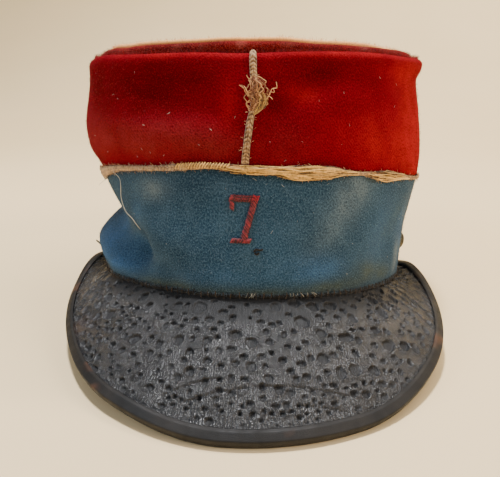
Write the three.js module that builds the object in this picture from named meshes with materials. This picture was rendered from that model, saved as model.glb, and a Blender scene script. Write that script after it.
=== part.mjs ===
// A French army kepi: a soft cap with a blue cloth band, a red cloth crown made of four quarters, a flat
// top set inside a rolled piping, braid over every seam, a leather peak with a bound edge, two side
// buttons and an embroidered numeral.
//
// Everything is laid out in the cap's own frame: millimetres, the front facing -Y, and Z up from the plane
// of the rim. Left and right are as someone facing the front sees them, so +X is to the right. The whole cap
// is then tipped back until it stands on the peak's front edge and the back of the rim, as it does on a
// table, with the floor at Z = 0.
//
// Places on the cloth are (angle, level): the angle runs round the cap in degrees from the front, positive
// towards +X, and the level is 0 at the rim, 1 at the seam between band and crown, and 2 at the top edge.

import * as THREE from 'three';

// ---- Driving dimensions ----

const CLOTH = 2.5;               // cloth with its stiffening
const GAP = 0.3;                 // clearance between neighbouring pieces
const ROUNDNESS = 2.1;           // superellipse power of every horizontal section; 2 is an ellipse
const LEVEL_HEIGHT = 45;         // height of one level along the cloth, for measuring across a fold
const FOLD_RADIUS = 85;          // radius that turns a fold's angles into lengths
const PRESS = 0.5;               // how far the soft edges flatten where the cap stands on them

const BAND_TOP = 1;              // the band ends at the seam
const CROWN_BOTTOM = 1.008;      // and the crown starts just above it
const CROWN_TOP = 2;

const TOP_SINK = 3.2;            // the flat top lies this far under the top edge of the crown
const TOP_INSET = 3.4;           // and this far inside it

const PIPING_RADIUS = 2.3;
const PIPING_SIDES = 8;

const SEAM_BRAID_WIDTH = 3.4;
const UPRIGHT_BRAID_WIDTH = 2.6;
const BRAID_THICKNESS = 1.4;
const TOP_BRAID_THICKNESS = 1.3;
const BRAID_TOP = 1.985;         // the level where the upright braids end, under the piping

const PEAK_THICKNESS = 2.4;
const PEAK_CROWNING = 2.2;       // how far the peak arches up between its inner and outer edges
const PEAK_END_ANGLE = 88;
const PEAK_STEPS = 44;
const BINDING_DEPTH = 4.6;       // how far the binding laps onto the peak
const BINDING_WALL = 0.8;
const BINDING_MEETS = 0.06;      // the level of the band that the binding's ends come closest to
const BINDING_CLEARANCE = 1.2;   // and how far from it they stay
const BINDING_LIP = 0.9;         // leather beyond the peak's own edge

const BUTTON_RADIUS = 5.5;
const BUTTON_HEIGHT = 3.6;
const BUTTON_ANGLE = 87;
const BUTTON_LEVEL = 0.28;

const NUMERAL_HEIGHT = 17.2;
const NUMERAL_THICKNESS = 0.8;
const NUMERAL_LEVEL = 0.625;     // the middle of the numeral
const NUMERAL_SHIFT = 0.6;       // and how far it sits to the right of the middle

const AROUND = 72;               // steps round a closed ring

const RED = 0x9c1414;
const MAROON = 0x541418;
const BLUE = 0x3f6076;
const STRAW = 0xb89a6a;
const LEATHER = 0x2a2b2e;
const BRASS = 0x6b6248;
const THREAD_RED = 0xb03038;

// ---- The cap's cloth wall ----

// Outer size of the wall at each level: heights of its front and back, and its reach to either side, to the
// front and to the back of the middle.
const SECTIONS = [
  { level: 0.00, frontHeight: 0.0, backHeight: 0.0, left: 75.5, right: 75.5, front: 95.0, back: 97.0 },
  { level: 0.15, frontHeight: 6.5, backHeight: 7.0, left: 78.0, right: 76.0, front: 97.0, back: 98.0 },
  { level: 0.45, frontHeight: 20.5, backHeight: 23.0, left: 82.0, right: 77.6, front: 96.5, back: 98.0 },
  { level: 0.75, frontHeight: 35.0, backHeight: 39.0, left: 78.5, right: 81.5, front: 95.5, back: 97.0 },
  { level: 1.00, frontHeight: 47.0, backHeight: 53.0, left: 80.5, right: 83.5, front: 95.0, back: 96.0 },
  { level: 1.25, frontHeight: 57.0, backHeight: 66.0, left: 86.0, right: 84.0, front: 96.0, back: 96.0 },
  { level: 1.55, frontHeight: 71.5, backHeight: 83.0, left: 87.0, right: 82.5, front: 96.0, back: 95.0 },
  { level: 1.80, frontHeight: 82.5, backHeight: 97.0, left: 86.5, right: 80.5, front: 95.0, back: 93.0 },
  { level: 1.90, frontHeight: 86.4, backHeight: 103.1, left: 86.7, right: 82.7, front: 94.8, back: 92.4 },
  { level: 1.94, frontHeight: 88.0, backHeight: 105.5, left: 86.4, right: 82.9, front: 94.5, back: 92.0 },
  { level: 1.97, frontHeight: 89.4, backHeight: 107.2, left: 85.3, right: 82.1, front: 93.6, back: 91.1 },
  { level: 2.00, frontHeight: 90.5, backHeight: 108.5, left: 83.2, right: 80.2, front: 92.0, back: 89.5 },
];

// Soft folds: a ridge (positive depth) or a valley (negative) along a line between two places on the cloth.
const FOLDS = [
  { name: 'crease down the left of the band', from: [-85, 0.77], to: [-38, 0.34], width: 9.2, depth: -12 },
  { name: 'that crease running out at the rim', from: [-34, 0.29], to: [-22, 0.12], width: 9, depth: -3 },
  { name: 'bulge under that crease', from: [-72, 0.25], to: [-50, 0.08], width: 9.7, depth: 3.3 },
  { name: 'slack in the right of the band', from: [70, 0.75], to: [48, 0.35], width: 9, depth: -2 },
  { name: 'dent left of the front seam', from: [-26, 1.62], to: [-9, 1.52], width: 8, depth: -2.2 },
  { name: 'dent right of the front seam', from: [7, 1.58], to: [16, 1.72], width: 7, depth: -2.6 },
  { name: 'sag across the left of the crown', from: [-70, 1.42], to: [-12, 1.34], width: 8, depth: 1.6 },
  { name: 'crease in the back of the band', from: [128, 0.80], to: [162, 0.42], width: 9, depth: -4 },
  { name: 'dent in the back of the crown', from: [-150, 1.55], to: [-118, 1.45], width: 11, depth: -3 },
];

// The cloth's rim, seam and top edge rise and sink along their length. Each wave fades out over `fade` levels.
const EDGE_WAVES = [
  { name: 'rim lifted under the left bulge', level: 0, fade: 0.45, angle: -67, spread: 18, rise: 4.0 },
  { name: 'seam lifted left of the front', level: 1, fade: 0.4, angle: -9, spread: 10, rise: 1.2 },
  { name: 'seam sagging on the right', level: 1, fade: 0.45, angle: 66, spread: 24, rise: -2.0 },
  { name: 'top lifted on the left', level: 2, fade: 0.8, angle: -90, spread: 27, rise: 8.6 },
  { name: 'top raised left of the front', level: 2, fade: 0.7, angle: -50, spread: 19, rise: 2.2 },
  { name: 'top drawn down by the front seam', level: 2, fade: 0.7, angle: 0, spread: 9, rise: -0.7 },
  { name: 'top slack right of the front seam', level: 2, fade: 0.7, angle: 36, spread: 19, rise: 1.5 },
  { name: 'top lifted on the right', level: 2, fade: 0.8, angle: 84, spread: 30, rise: 7.2 },
];

// The front seam strays to the right on its way up.
const FRONT_SEAM = [
  { level: 1.00, angle: 0.3 },
  { level: 1.25, angle: 0.8 },
  { level: 1.40, angle: 1.3 },
  { level: 1.60, angle: 2.3 },
  { level: 1.68, angle: 2.4 },
  { level: 1.80, angle: 1.9 },
  { level: 2.00, angle: 1.6 },
];

// The piping's centre along the top edge: how far inside the cloth's outer surface it lies, and how far above
// its edge. At the sides it has slipped in behind the cloth. `braidTurn` is the direction from the piping's
// centre to the thin braid on its inner side, in degrees up from the inside.
const TOP_ROLL = [
  { angle: -180, inset: 2.8, rise: 2.5, braidTurn: 40 },
  { angle: -125, inset: 2.8, rise: 2.5, braidTurn: 30 },
  { angle: -112, inset: 4.4, rise: 1.9, braidTurn: 25 },
  { angle: -98, inset: 5.4, rise: 0.3, braidTurn: 25 },
  { angle: -80, inset: 5.4, rise: 0.4, braidTurn: 25 },
  { angle: -70, inset: 5.2, rise: 0.8, braidTurn: 32 },
  { angle: -60, inset: 4.9, rise: 1.2, braidTurn: 45 },
  { angle: -50, inset: 4.8, rise: 1.4, braidTurn: 55 },
  { angle: -42, inset: 4.9, rise: 1.2, braidTurn: 58 },
  { angle: -35, inset: 4.6, rise: 1.7, braidTurn: 58 },
  { angle: -28, inset: 4.2, rise: 2.0, braidTurn: 58 },
  { angle: -14, inset: 4.2, rise: 2.1, braidTurn: 58 },
  { angle: -3, inset: 2.8, rise: 2.6, braidTurn: 58 },
  { angle: 6, inset: 3.3, rise: 2.5, braidTurn: 58 },
  { angle: 20, inset: 4.8, rise: 1.4, braidTurn: 58 },
  { angle: 36, inset: 5.0, rise: 1.0, braidTurn: 55 },
  { angle: 46, inset: 5.0, rise: 1.1, braidTurn: 45 },
  { angle: 56, inset: 4.9, rise: 1.3, braidTurn: 35 },
  { angle: 66, inset: 5.2, rise: 0.8, braidTurn: 28 },
  { angle: 80, inset: 5.4, rise: 0.4, braidTurn: 25 },
  { angle: 98, inset: 5.4, rise: 0.3, braidTurn: 25 },
  { angle: 112, inset: 4.4, rise: 1.9, braidTurn: 25 },
  { angle: 125, inset: 2.8, rise: 2.5, braidTurn: 30 },
  { angle: 180, inset: 2.8, rise: 2.5, braidTurn: 40 },
];

const toRadians = THREE.MathUtils.degToRad;

/**
 * A column of a table where another column, `by`, has a value, through a cubic whose slopes never overshoot
 * the rows.
 */
function read(table, column, value, by = 'level') {
  const last = table.length - 1;
  const slope = (i) => (table[i + 1][column] - table[i][column]) / (table[i + 1][by] - table[i][by]);
  const tangent = (i) => {
    if (i === 0) return slope(0);
    if (i === last) return slope(last - 1);
    const [below, above] = [slope(i - 1), slope(i)];
    return below * above <= 0 ? 0 : 2 * below * above / (below + above);
  };
  const inside = THREE.MathUtils.clamp(value, table[0][by], table[last][by]);
  let i = 0;
  while (i < last - 1 && table[i + 1][by] <= inside) i += 1;
  const span = table[i + 1][by] - table[i][by];
  const t = (inside - table[i][by]) / span;
  return (2 * t ** 3 - 3 * t ** 2 + 1) * table[i][column]
    + (t ** 3 - 2 * t ** 2 + t) * span * tangent(i)
    + (-2 * t ** 3 + 3 * t ** 2) * table[i + 1][column]
    + (t ** 3 - t ** 2) * span * tangent(i + 1);
}

/** How far one fold pushes the cloth out at a place. */
function foldPush(angle, level, { from, to, width, depth }) {
  const start = new THREE.Vector2(toRadians(from[0]) * FOLD_RADIUS, from[1] * LEVEL_HEIGHT);
  const end = new THREE.Vector2(toRadians(to[0]) * FOLD_RADIUS, to[1] * LEVEL_HEIGHT);
  const along = end.clone().sub(start);
  const length = along.length();
  along.normalize();
  const place = new THREE.Vector2(toRadians(angle) * FOLD_RADIUS, level * LEVEL_HEIGHT).sub(start);
  const travelled = place.dot(along);
  const across = place.cross(along);
  const beyond = Math.max(-travelled, travelled - length, 0);
  return depth * Math.exp(-((across / width) ** 2) - (beyond / (1.2 * width)) ** 2);
}

/** How far one wave lifts the cloth at a place. */
function edgeRise(angle, level, { level: edge, fade, angle: middle, spread, rise }) {
  const share = 1 - THREE.MathUtils.smoothstep(Math.abs(level - edge), 0, fade);
  return rise * share * Math.exp(-(((angle - middle) / spread) ** 2));
}

const power = (value, exponent) => Math.sign(value) * Math.abs(value) ** exponent;

/** A point on the wall's outer surface, or `offset` outside it at the same height. */
function wallPoint(angle, level, offset = 0, folds = FOLDS) {
  const s = power(Math.sin(toRadians(angle)), 2 / ROUNDNESS);
  const c = power(Math.cos(toRadians(angle)), 2 / ROUNDNESS);
  const front = read(SECTIONS, 'front', level);
  const back = read(SECTIONS, 'back', level);
  const x = s * read(SECTIONS, s > 0 ? 'right' : 'left', level);
  const y = -c * (c > 0 ? front : back);
  const share = (y + front) / (front + back);
  const z = THREE.MathUtils.lerp(
    read(SECTIONS, 'frontHeight', level), read(SECTIONS, 'backHeight', level), share);
  const wrapped = angle > 180 ? angle - 360 : angle;
  const wave = EDGE_WAVES.reduce((sum, row) => sum + edgeRise(wrapped, level, row), 0);
  const push = offset + folds.reduce((sum, fold) => sum + foldPush(wrapped, level, fold), 0);
  const out = new THREE.Vector2(s, -c).normalize();
  return new THREE.Vector3(x + push * out.x, y + push * out.y, z + wave);
}

/** The wall's outward direction, square to the cloth. */
function wallNormal(angle, level) {
  const step = 0.5;
  const low = Math.min(level, CROWN_TOP - 0.02);
  const across = wallPoint(angle + step, low).sub(wallPoint(angle - step, low));
  const up = wallPoint(angle, low + 0.02).sub(wallPoint(angle, Math.max(low - 0.02, 0)));
  return across.cross(up).normalize();
}

// ---- Building closed solids ----

/**
 * A solid through a row of sections that all have the same number of points. A ring joins its last section
 * to its first. Otherwise both ends are capped, where a section's first point faces its last, its second the
 * one before the last, and so on.
 */
function loft(sections, isRing = true) {
  const count = sections[0].length;
  const triangles = [];
  const addQuad = (a, b, c, d) => triangles.push([a, b, c], [a, c, d]);
  const rows = isRing ? sections.length : sections.length - 1;
  for (let i = 0; i < rows; i += 1) {
    const next = (i + 1) % sections.length;
    for (let j = 0; j < count; j += 1) {
      const k = (j + 1) % count;
      addQuad(i * count + j, i * count + k, next * count + k, next * count + j);
    }
  }
  if (!isRing) {
    const startOfLast = (sections.length - 1) * count;
    for (let j = 0; j < count / 2 - 1; j += 1) {
      const [a, b, c, d] = [j, j + 1, count - 2 - j, count - 1 - j];
      addQuad(d, c, b, a);
      addQuad(startOfLast + a, startOfLast + b, startOfLast + c, startOfLast + d);
    }
  }
  return solid(sections.flat(), triangles);
}

/** A geometry from vertices and triangles, stood on the floor, with its faces turned to point out. */
function solid(vertices, triangles) {
  const placed = vertices.map(stand);
  const volume = triangles.reduce((sum, [a, b, c]) => (
    sum + placed[a].dot(placed[b].clone().cross(placed[c]))), 0);
  const facing = volume > 0 ? triangles : triangles.map(([a, b, c]) => [a, c, b]);
  const geometry = new THREE.BufferGeometry();
  geometry.setAttribute('position', new THREE.Float32BufferAttribute(placed.flatMap((p) => p.toArray()), 3));
  geometry.setIndex(facing.flat());
  geometry.computeVertexNormals();
  return geometry;
}

/** Whole steps from one angle to another, both included. */
function anglesBetween(from, to, steps) {
  return Array.from({ length: steps + 1 }, (_, i) => from + (to - from) * i / steps);
}

const RING = anglesBetween(-180, 180, AROUND).slice(0, AROUND);

// ---- The peak's surface ----

// The peak at each angle: how far its inner edge tucks down under the rim, how far its outer edge reaches
// out from the rim, and how far that edge drops below it.
const PEAK_EDGE = [
  { angle: -88, tuck: 2.4, reach: 3.0, drop: 0.4 },
  { angle: -80, tuck: 2.4, reach: 9.0, drop: -1.6 },
  { angle: -62, tuck: 2.4, reach: 17.6, drop: 11.6 },
  { angle: -42, tuck: 2.0, reach: 25.6, drop: 24.2 },
  { angle: -21, tuck: 1.8, reach: 35.7, drop: 31.8 },
  { angle: 0, tuck: 1.8, reach: 41.0, drop: 36.8 },
  { angle: 21, tuck: 1.8, reach: 38.8, drop: 35.0 },
  { angle: 42, tuck: 2.0, reach: 31.2, drop: 25.6 },
  { angle: 62, tuck: 2.4, reach: 20.0, drop: 13.0 },
  { angle: 80, tuck: 2.4, reach: 7.0, drop: -1.0 },
  { angle: 88, tuck: 2.4, reach: 3.0, drop: 0.4 },
];

/**
 * A point on the peak: `share` is 0 at the band and 1 at the outer edge, `beyond` is a distance past that
 * edge, and `height` is a distance above the leather's middle surface.
 */
function peakPoint(angle, share, height, beyond = 0) {
  const inner = wallPoint(angle, 0, -CLOTH / 2);
  inner.z -= read(PEAK_EDGE, 'tuck', angle, 'angle');
  const out = new THREE.Vector3(Math.sin(toRadians(angle)), -Math.cos(toRadians(angle)), 0);
  const edge = wallPoint(angle, 0, 0, []).addScaledVector(out, read(PEAK_EDGE, 'reach', angle, 'angle'));
  edge.z = -read(PEAK_EDGE, 'drop', angle, 'angle');
  const slope = edge.clone().sub(inner);
  const length = slope.length();
  slope.normalize();
  const up = new THREE.Vector3().crossVectors(new THREE.Vector3(out.y, -out.x, 0), slope).normalize();
  if (up.z < 0) up.negate();
  const arch = PEAK_CROWNING * (length / 60) * 4 * share * (1 - share);
  return inner.addScaledVector(slope, share * length + beyond).addScaledVector(up, arch + height);
}

// ---- Standing the cap on the floor ----

const frontContact = peakPoint(0, 1, -(PEAK_THICKNESS / 2 + GAP + BINDING_WALL), 0.3 * BINDING_LIP);
const backContact = wallPoint(180, 0);
const REST_TILT = Math.atan2(-frontContact.z, backContact.y - frontContact.y);
const restTurn = new THREE.Matrix4().makeRotationX(-REST_TILT);
const restDrop = Math.min(
  frontContact.clone().applyMatrix4(restTurn).z, backContact.clone().applyMatrix4(restTurn).z) + PRESS;

/** From the cap's frame to the standing one, pressed flat where it meets the floor. */
function stand(point) {
  const placed = point.clone().applyMatrix4(restTurn);
  return placed.setZ(Math.max(placed.z - restDrop, 0));
}

// ---- The pieces ----

const BAND_LEVELS = [0, 0.1, 0.22, 0.34, 0.46, 0.58, 0.7, 0.83, 0.94, BAND_TOP];
const CROWN_LEVELS = [CROWN_BOTTOM, 1.05, 1.15, 1.28, 1.43, 1.6, 1.76, 1.88, 1.95, CROWN_TOP];

/** The band: one ring of cloth, up the outside and back down the inside. */
function makeBand() {
  return loft(RING.map((angle) => {
    const outside = BAND_LEVELS.map((level) => wallPoint(angle, level));
    const inside = BAND_LEVELS.map((level) => wallPoint(angle, level, -CLOTH));
    return [...outside, ...inside.reverse()];
  }));
}

/** The angle of an upright seam at a level. */
function seamAngle(seam, level) {
  return seam === 0 ? read(FRONT_SEAM, 'angle', level) : seam;
}

/** One quarter of the crown's side, with a seam's gap at each end. */
function makeQuarter(from, to) {
  const seamGap = THREE.MathUtils.radToDeg(GAP / 2 / FOLD_RADIUS);
  return loft(anglesBetween(0, 1, AROUND / 4).map((share) => {
    const point = (level, offset) => wallPoint(THREE.MathUtils.lerp(
      seamAngle(from, level) + seamGap, seamAngle(to, level) - seamGap, share), level, offset);
    const outside = CROWN_LEVELS.map((level) => point(level, 0));
    const inside = CROWN_LEVELS.map((level) => point(level, -CLOTH));
    return [...outside, ...inside.reverse()];
  }), false);
}

/** A point inset from the crown's top edge and raised above it, square to the top. */
function topPoint(angle, inset, rise) {
  return wallPoint(angle, CROWN_TOP, -inset).add(new THREE.Vector3(0, 0, rise));
}

/** The flat top: rings of points drawn in from its edge, above and below. */
function makeTop() {
  const shrink = [1, 0.7, 0.35];
  const middle = topPoint(0, 0, 0).add(topPoint(180, 0, 0)).multiplyScalar(0.5);
  const surface = (down) => shrink.map((scale) => RING.map((angle) => {
    const edge = topPoint(angle, TOP_INSET, 0);
    return edge.sub(middle).multiplyScalar(scale).add(middle).add(new THREE.Vector3(0, 0, -down));
  }));
  const [above, below] = [surface(TOP_SINK), surface(TOP_SINK + CLOTH)];
  const centres = [TOP_SINK, TOP_SINK + CLOTH].map((down) => middle.clone().setZ(middle.z - down));
  const rings = [...below.reverse(), ...above];
  const vertices = [...rings.flat(), centres[0], centres[1]];
  const triangles = [];
  for (let i = 0; i < rings.length - 1; i += 1) {
    for (let j = 0; j < AROUND; j += 1) {
      const k = (j + 1) % AROUND;
      const [a, b, c, d] = [i * AROUND + j, i * AROUND + k, (i + 1) * AROUND + k, (i + 1) * AROUND + j];
      triangles.push([a, b, c], [a, c, d]);
    }
  }
  const [topCentre, bottomCentre] = [vertices.length - 2, vertices.length - 1];
  const lastRing = (rings.length - 1) * AROUND;
  for (let j = 0; j < AROUND; j += 1) {
    const k = (j + 1) % AROUND;
    triangles.push([lastRing + j, lastRing + k, topCentre], [k, j, bottomCentre]);
  }
  return solid(vertices, triangles);
}

/** The piping's centre at an angle: its inset, its rise, and the direction to the thin braid. */
function rollAt(angle) {
  const [inset, rise, turn] = ['inset', 'rise', 'braidTurn']
    .map((column) => read(TOP_ROLL, column, angle, 'angle'));
  return { inset, rise, turn: toRadians(turn) };
}

/** A round roll that follows the top edge. */
function makePiping() {
  const sides = anglesBetween(0, 360, PIPING_SIDES).slice(0, PIPING_SIDES).map(toRadians);
  return loft(RING.map((angle) => {
    const { inset, rise } = rollAt(angle);
    return sides.map((side) => topPoint(
      angle, inset - PIPING_RADIUS * Math.cos(side), rise + PIPING_RADIUS * Math.sin(side)));
  }));
}

/** A thin braid laid along the inner side of the piping, square to the line between their centres. */
function makeTopBraid() {
  const half = TOP_BRAID_THICKNESS / 2;
  const reach = PIPING_RADIUS + GAP + half;
  const corners = [[-half, -half], [half, -half], [half, half], [-half, half]];
  return loft(RING.map((angle) => {
    const { inset, rise, turn } = rollAt(angle);
    const [inward, up] = [Math.cos(turn), Math.sin(turn)];
    return corners.map(([out, side]) => topPoint(
      angle, inset + (reach + out) * inward - side * up, rise + (reach + out) * up + side * inward));
  }));
}

/** A braid's rounded section: places across its width, and out from the cloth. */
function braidOutline(width) {
  return [[1, 0], [0.92, 0.7], [0.5, 1], [-0.5, 1], [-0.92, 0.7], [-1, 0]]
    .map(([across, out]) => new THREE.Vector2(across * width / 2, GAP + out * BRAID_THICKNESS));
}

/** The braid that covers the seam between the band and the crown. */
function makeSeamBraid() {
  return loft(RING.map((angle) => braidOutline(SEAM_BRAID_WIDTH).map(({ x, y }) => (
    wallPoint(angle, BAND_TOP + x / LEVEL_HEIGHT, y)))));
}

/** A braid up one of the crown's seams, from the seam braid to just under the piping. */
function makeUprightBraid(seam) {
  const start = BAND_TOP + (SEAM_BRAID_WIDTH / 2 + 1) / LEVEL_HEIGHT;
  const levels = [start, ...CROWN_LEVELS.filter((level) => level > start && level < CROWN_TOP), BRAID_TOP];
  return loft(levels.map((level) => braidOutline(UPRIGHT_BRAID_WIDTH).map(({ x, y }) => {
    const angle = seamAngle(seam, level) + THREE.MathUtils.radToDeg(x / FOLD_RADIUS);
    return wallPoint(angle, level).addScaledVector(wallNormal(seamAngle(seam, level), level), y);
  })), false);
}

const PEAK_ANGLES = anglesBetween(-PEAK_END_ANGLE, PEAK_END_ANGLE, PEAK_STEPS);

/** Share of the way out along the peak at a distance inside its edge. */
function shareInside(angle, distance) {
  return 1 - distance / peakPoint(angle, 0, 0).distanceTo(peakPoint(angle, 1, 0));
}

/** The share where the binding's inner edge lies, which draws in where the peak narrows. */
function bindingShareAt(angle) {
  const toBand = peakPoint(angle, 1, 0).sub(wallPoint(angle, BINDING_MEETS)).setZ(0).length();
  return shareInside(angle, Math.min(BINDING_DEPTH, toBand - BINDING_CLEARANCE));
}

/** The leather peak: a curved plate from under the band to inside its binding. */
function makePeak() {
  const half = PEAK_THICKNESS / 2;
  return loft(PEAK_ANGLES.map((angle) => {
    const laps = bindingShareAt(angle);
    const shares = [0, 0.35 * laps, 0.7 * laps, laps, shareInside(angle, GAP)];
    const upper = shares.map((share) => peakPoint(angle, share, half));
    const lower = shares.map((share) => peakPoint(angle, share, -half));
    return [...upper, ...lower.reverse()];
  }), false);
}

/** The binding: a channel of thin leather folded over the peak's outer edge. */
function makeBinding() {
  const inner = PEAK_THICKNESS / 2 + GAP;
  const outer = inner + BINDING_WALL;
  // Heights and distances past the peak's edge, round the channel from the edge of its lap on top.
  const insideOfFold = [[0, inner], [0, 0.4 * inner], [0, -0.4 * inner], [0, -inner]];
  const outsideOfFold = [[0.3, -outer], [1, -0.4 * outer], [1, 0.4 * outer], [0.3, outer]];
  return loft(PEAK_ANGLES.map((angle) => {
    const laps = bindingShareAt(angle);
    return [
      peakPoint(angle, laps, inner),
      ...insideOfFold.map(([beyond, height]) => peakPoint(angle, 1, height, beyond * BINDING_LIP)),
      peakPoint(angle, laps, -inner),
      peakPoint(angle, laps, -outer),
      ...outsideOfFold.map(([beyond, height]) => peakPoint(angle, 1, height, beyond * BINDING_LIP)),
      peakPoint(angle, laps, outer),
    ];
  }), false);
}

/** A domed button with a flat back, standing off the band on its side. */
function makeButton(angle) {
  const profile = [
    [0, 0], [BUTTON_RADIUS * 0.86, 0], [BUTTON_RADIUS, 0.5], [BUTTON_RADIUS, 1.1],
    [BUTTON_RADIUS * 0.9, 2.0], [BUTTON_RADIUS * 0.66, 2.9], [BUTTON_RADIUS * 0.34, 3.4], [0, BUTTON_HEIGHT],
  ].map(([radius, height]) => new THREE.Vector2(radius, height));
  const lathe = new THREE.LatheGeometry(profile, 20);
  const normal = wallNormal(angle, BUTTON_LEVEL);
  const turn = new THREE.Quaternion().setFromUnitVectors(new THREE.Vector3(0, 1, 0), normal);
  const base = wallPoint(angle, BUTTON_LEVEL).addScaledVector(normal, GAP + 0.5);
  lathe.applyQuaternion(turn).translate(base.x, base.y, base.z);
  return lathe.applyMatrix4(restTurn).translate(0, 0, -restDrop);
}

// The outline of a plain slab-serif figure seven, as shares of its height.
const NUMERAL_OUTLINE = [
  [0.00, 1.00], [0.66, 1.00], [0.66, 0.86], [0.42, 0.11], [0.50, 0.11], [0.50, 0.00],
  [0.06, 0.00], [0.06, 0.11], [0.28, 0.11], [0.51, 0.87], [0.12, 0.87], [0.12, 0.70], [0.00, 0.70],
];

/** The numeral, laid on the front of the band and as thick as its padded stitching. */
function makeNumeral() {
  const shape = new THREE.Shape(NUMERAL_OUTLINE.map(([x, y]) => (
    new THREE.Vector2((x - 0.33) * NUMERAL_HEIGHT + NUMERAL_SHIFT, (y - 0.5) * NUMERAL_HEIGHT))));
  const numeral = new THREE.ExtrudeGeometry(shape, { depth: NUMERAL_THICKNESS, bevelEnabled: false });
  const corners = numeral.getAttribute('position');
  for (let i = 0; i < corners.count; i += 1) {
    const angle = THREE.MathUtils.radToDeg(corners.getX(i) / read(SECTIONS, 'front', NUMERAL_LEVEL));
    const level = NUMERAL_LEVEL + corners.getY(i) / (LEVEL_HEIGHT + 2);
    const laid = stand(wallPoint(angle, level, GAP + corners.getZ(i)));
    corners.setXYZ(i, laid.x, laid.y, laid.z);
  }
  numeral.computeVertexNormals();
  return numeral;
}

// ---- Assembly ----

const kepi = new THREE.Group();

function addPiece(name, geometry, color, roughness, metalness = 0) {
  const piece = new THREE.Mesh(geometry, new THREE.MeshStandardMaterial({ color, roughness, metalness }));
  piece.name = name;
  kepi.add(piece);
}

addPiece('band', makeBand(), BLUE, 0.95);
const QUARTERS = { back_left: -180, front_left: -90, front_right: 0, back_right: 90 };
for (const [place, start] of Object.entries(QUARTERS)) {
  addPiece(`crown_${place}`, makeQuarter(start, start + 90), RED, 0.95);
}
addPiece('crown_top', makeTop(), RED, 0.95);
addPiece('top_piping', makePiping(), MAROON, 0.9);
addPiece('top_braid', makeTopBraid(), STRAW, 0.8);
addPiece('seam_braid', makeSeamBraid(), STRAW, 0.8);
for (const [place, angle] of Object.entries({ front: 0, right: 90, back: 180, left: -90 })) {
  addPiece(`braid_${place}`, makeUprightBraid(angle), STRAW, 0.8);
}
addPiece('peak', makePeak(), LEATHER, 0.45);
addPiece('peak_binding', makeBinding(), LEATHER, 0.5);
addPiece('button_right', makeButton(BUTTON_ANGLE), BRASS, 0.4, 1);
addPiece('button_left', makeButton(-BUTTON_ANGLE), BRASS, 0.4, 1);
addPiece('numeral', makeNumeral(), THREAD_RED, 0.7);

// The origin is on the floor, under the middle of the whole cap.
const middle = new THREE.Box3().setFromObject(kepi, true).getCenter(new THREE.Vector3());
kepi.position.set(-middle.x, -middle.y, 0);

export default kepi;
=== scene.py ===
"""A worn kepi standing on a floor: red felt crown, blue felt band, frayed braid, pitted leather peak.

Lengths are in millimetres in the cap's own frame, where the rim is the plane z = 0 and the front faces -y.
`stand` tips the points back onto the floor and turns them into the frame's metres. Places on the cloth are
(angle, level): degrees round the cap from its front, and 0 at the rim, 1 at the seam, 2 at the top edge.
"""

import math

import bpy
import numpy as np
from mathutils import Matrix, Vector


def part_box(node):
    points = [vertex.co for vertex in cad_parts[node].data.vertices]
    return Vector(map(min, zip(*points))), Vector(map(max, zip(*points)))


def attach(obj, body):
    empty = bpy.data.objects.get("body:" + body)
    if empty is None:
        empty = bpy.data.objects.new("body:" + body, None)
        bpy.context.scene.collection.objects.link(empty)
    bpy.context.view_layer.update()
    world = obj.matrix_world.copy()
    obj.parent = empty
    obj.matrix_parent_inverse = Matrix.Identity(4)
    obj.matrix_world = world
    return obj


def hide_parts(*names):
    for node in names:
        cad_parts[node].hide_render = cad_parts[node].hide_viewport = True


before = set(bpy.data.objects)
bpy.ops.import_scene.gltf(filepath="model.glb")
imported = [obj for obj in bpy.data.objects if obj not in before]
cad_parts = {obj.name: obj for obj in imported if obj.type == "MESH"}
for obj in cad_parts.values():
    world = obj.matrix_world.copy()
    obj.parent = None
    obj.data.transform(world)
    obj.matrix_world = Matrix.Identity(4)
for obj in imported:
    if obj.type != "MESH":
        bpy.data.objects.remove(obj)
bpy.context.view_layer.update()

# ---- The cap's shape ----


def table(columns, *rows):
    """A table with named columns."""
    return {name: np.array(values, float) for name, values in zip(columns.split(), zip(*rows))}


CLOTH = 2.5
GAP = 0.3
ROUNDNESS = 2.1
LEVEL_HEIGHT = 45.0
FOLD_RADIUS = 85.0
SEAM_LEVEL = 1.0

# Outer size of the cloth wall at each level.
SECTIONS = table(
    "level front_height back_height left right front back",
    (0.00, 0.0, 0.0, 75.5, 75.5, 95.0, 97.0),
    (0.15, 6.5, 7.0, 78.0, 76.0, 97.0, 98.0),
    (0.45, 20.5, 23.0, 82.0, 77.6, 96.5, 98.0),
    (0.75, 35.0, 39.0, 78.5, 81.5, 95.5, 97.0),
    (1.00, 47.0, 53.0, 80.5, 83.5, 95.0, 96.0),
    (1.25, 57.0, 66.0, 86.0, 84.0, 96.0, 96.0),
    (1.55, 71.5, 83.0, 87.0, 82.5, 96.0, 95.0),
    (1.80, 82.5, 97.0, 86.5, 80.5, 95.0, 93.0),
    (1.90, 86.4, 103.1, 86.7, 82.7, 94.8, 92.4),
    (1.94, 88.0, 105.5, 86.4, 82.9, 94.5, 92.0),
    (1.97, 89.4, 107.2, 85.3, 82.1, 93.6, 91.1),
    (2.00, 90.5, 108.5, 83.2, 80.2, 92.0, 89.5),
)

# Folds along a line between two places on the cloth: a ridge is positive and a valley negative.
FOLDS = table(
    "angle_a level_a angle_b level_b width depth",
    (-85, 0.77, -38, 0.34, 9.2, -12.0),
    (-34, 0.29, -22, 0.12, 9.0, -3.0),
    (-72, 0.25, -50, 0.08, 9.7, 3.3),
    (70, 0.75, 48, 0.35, 9.0, -2.0),
    (-26, 1.62, -9, 1.52, 8.0, -2.2),
    (7, 1.58, 16, 1.72, 7.0, -2.6),
    (-70, 1.42, -12, 1.34, 8.0, 1.6),
    (128, 0.80, 162, 0.42, 9.0, -4.0),
    (-150, 1.55, -118, 1.45, 11.0, -3.0),
)

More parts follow.
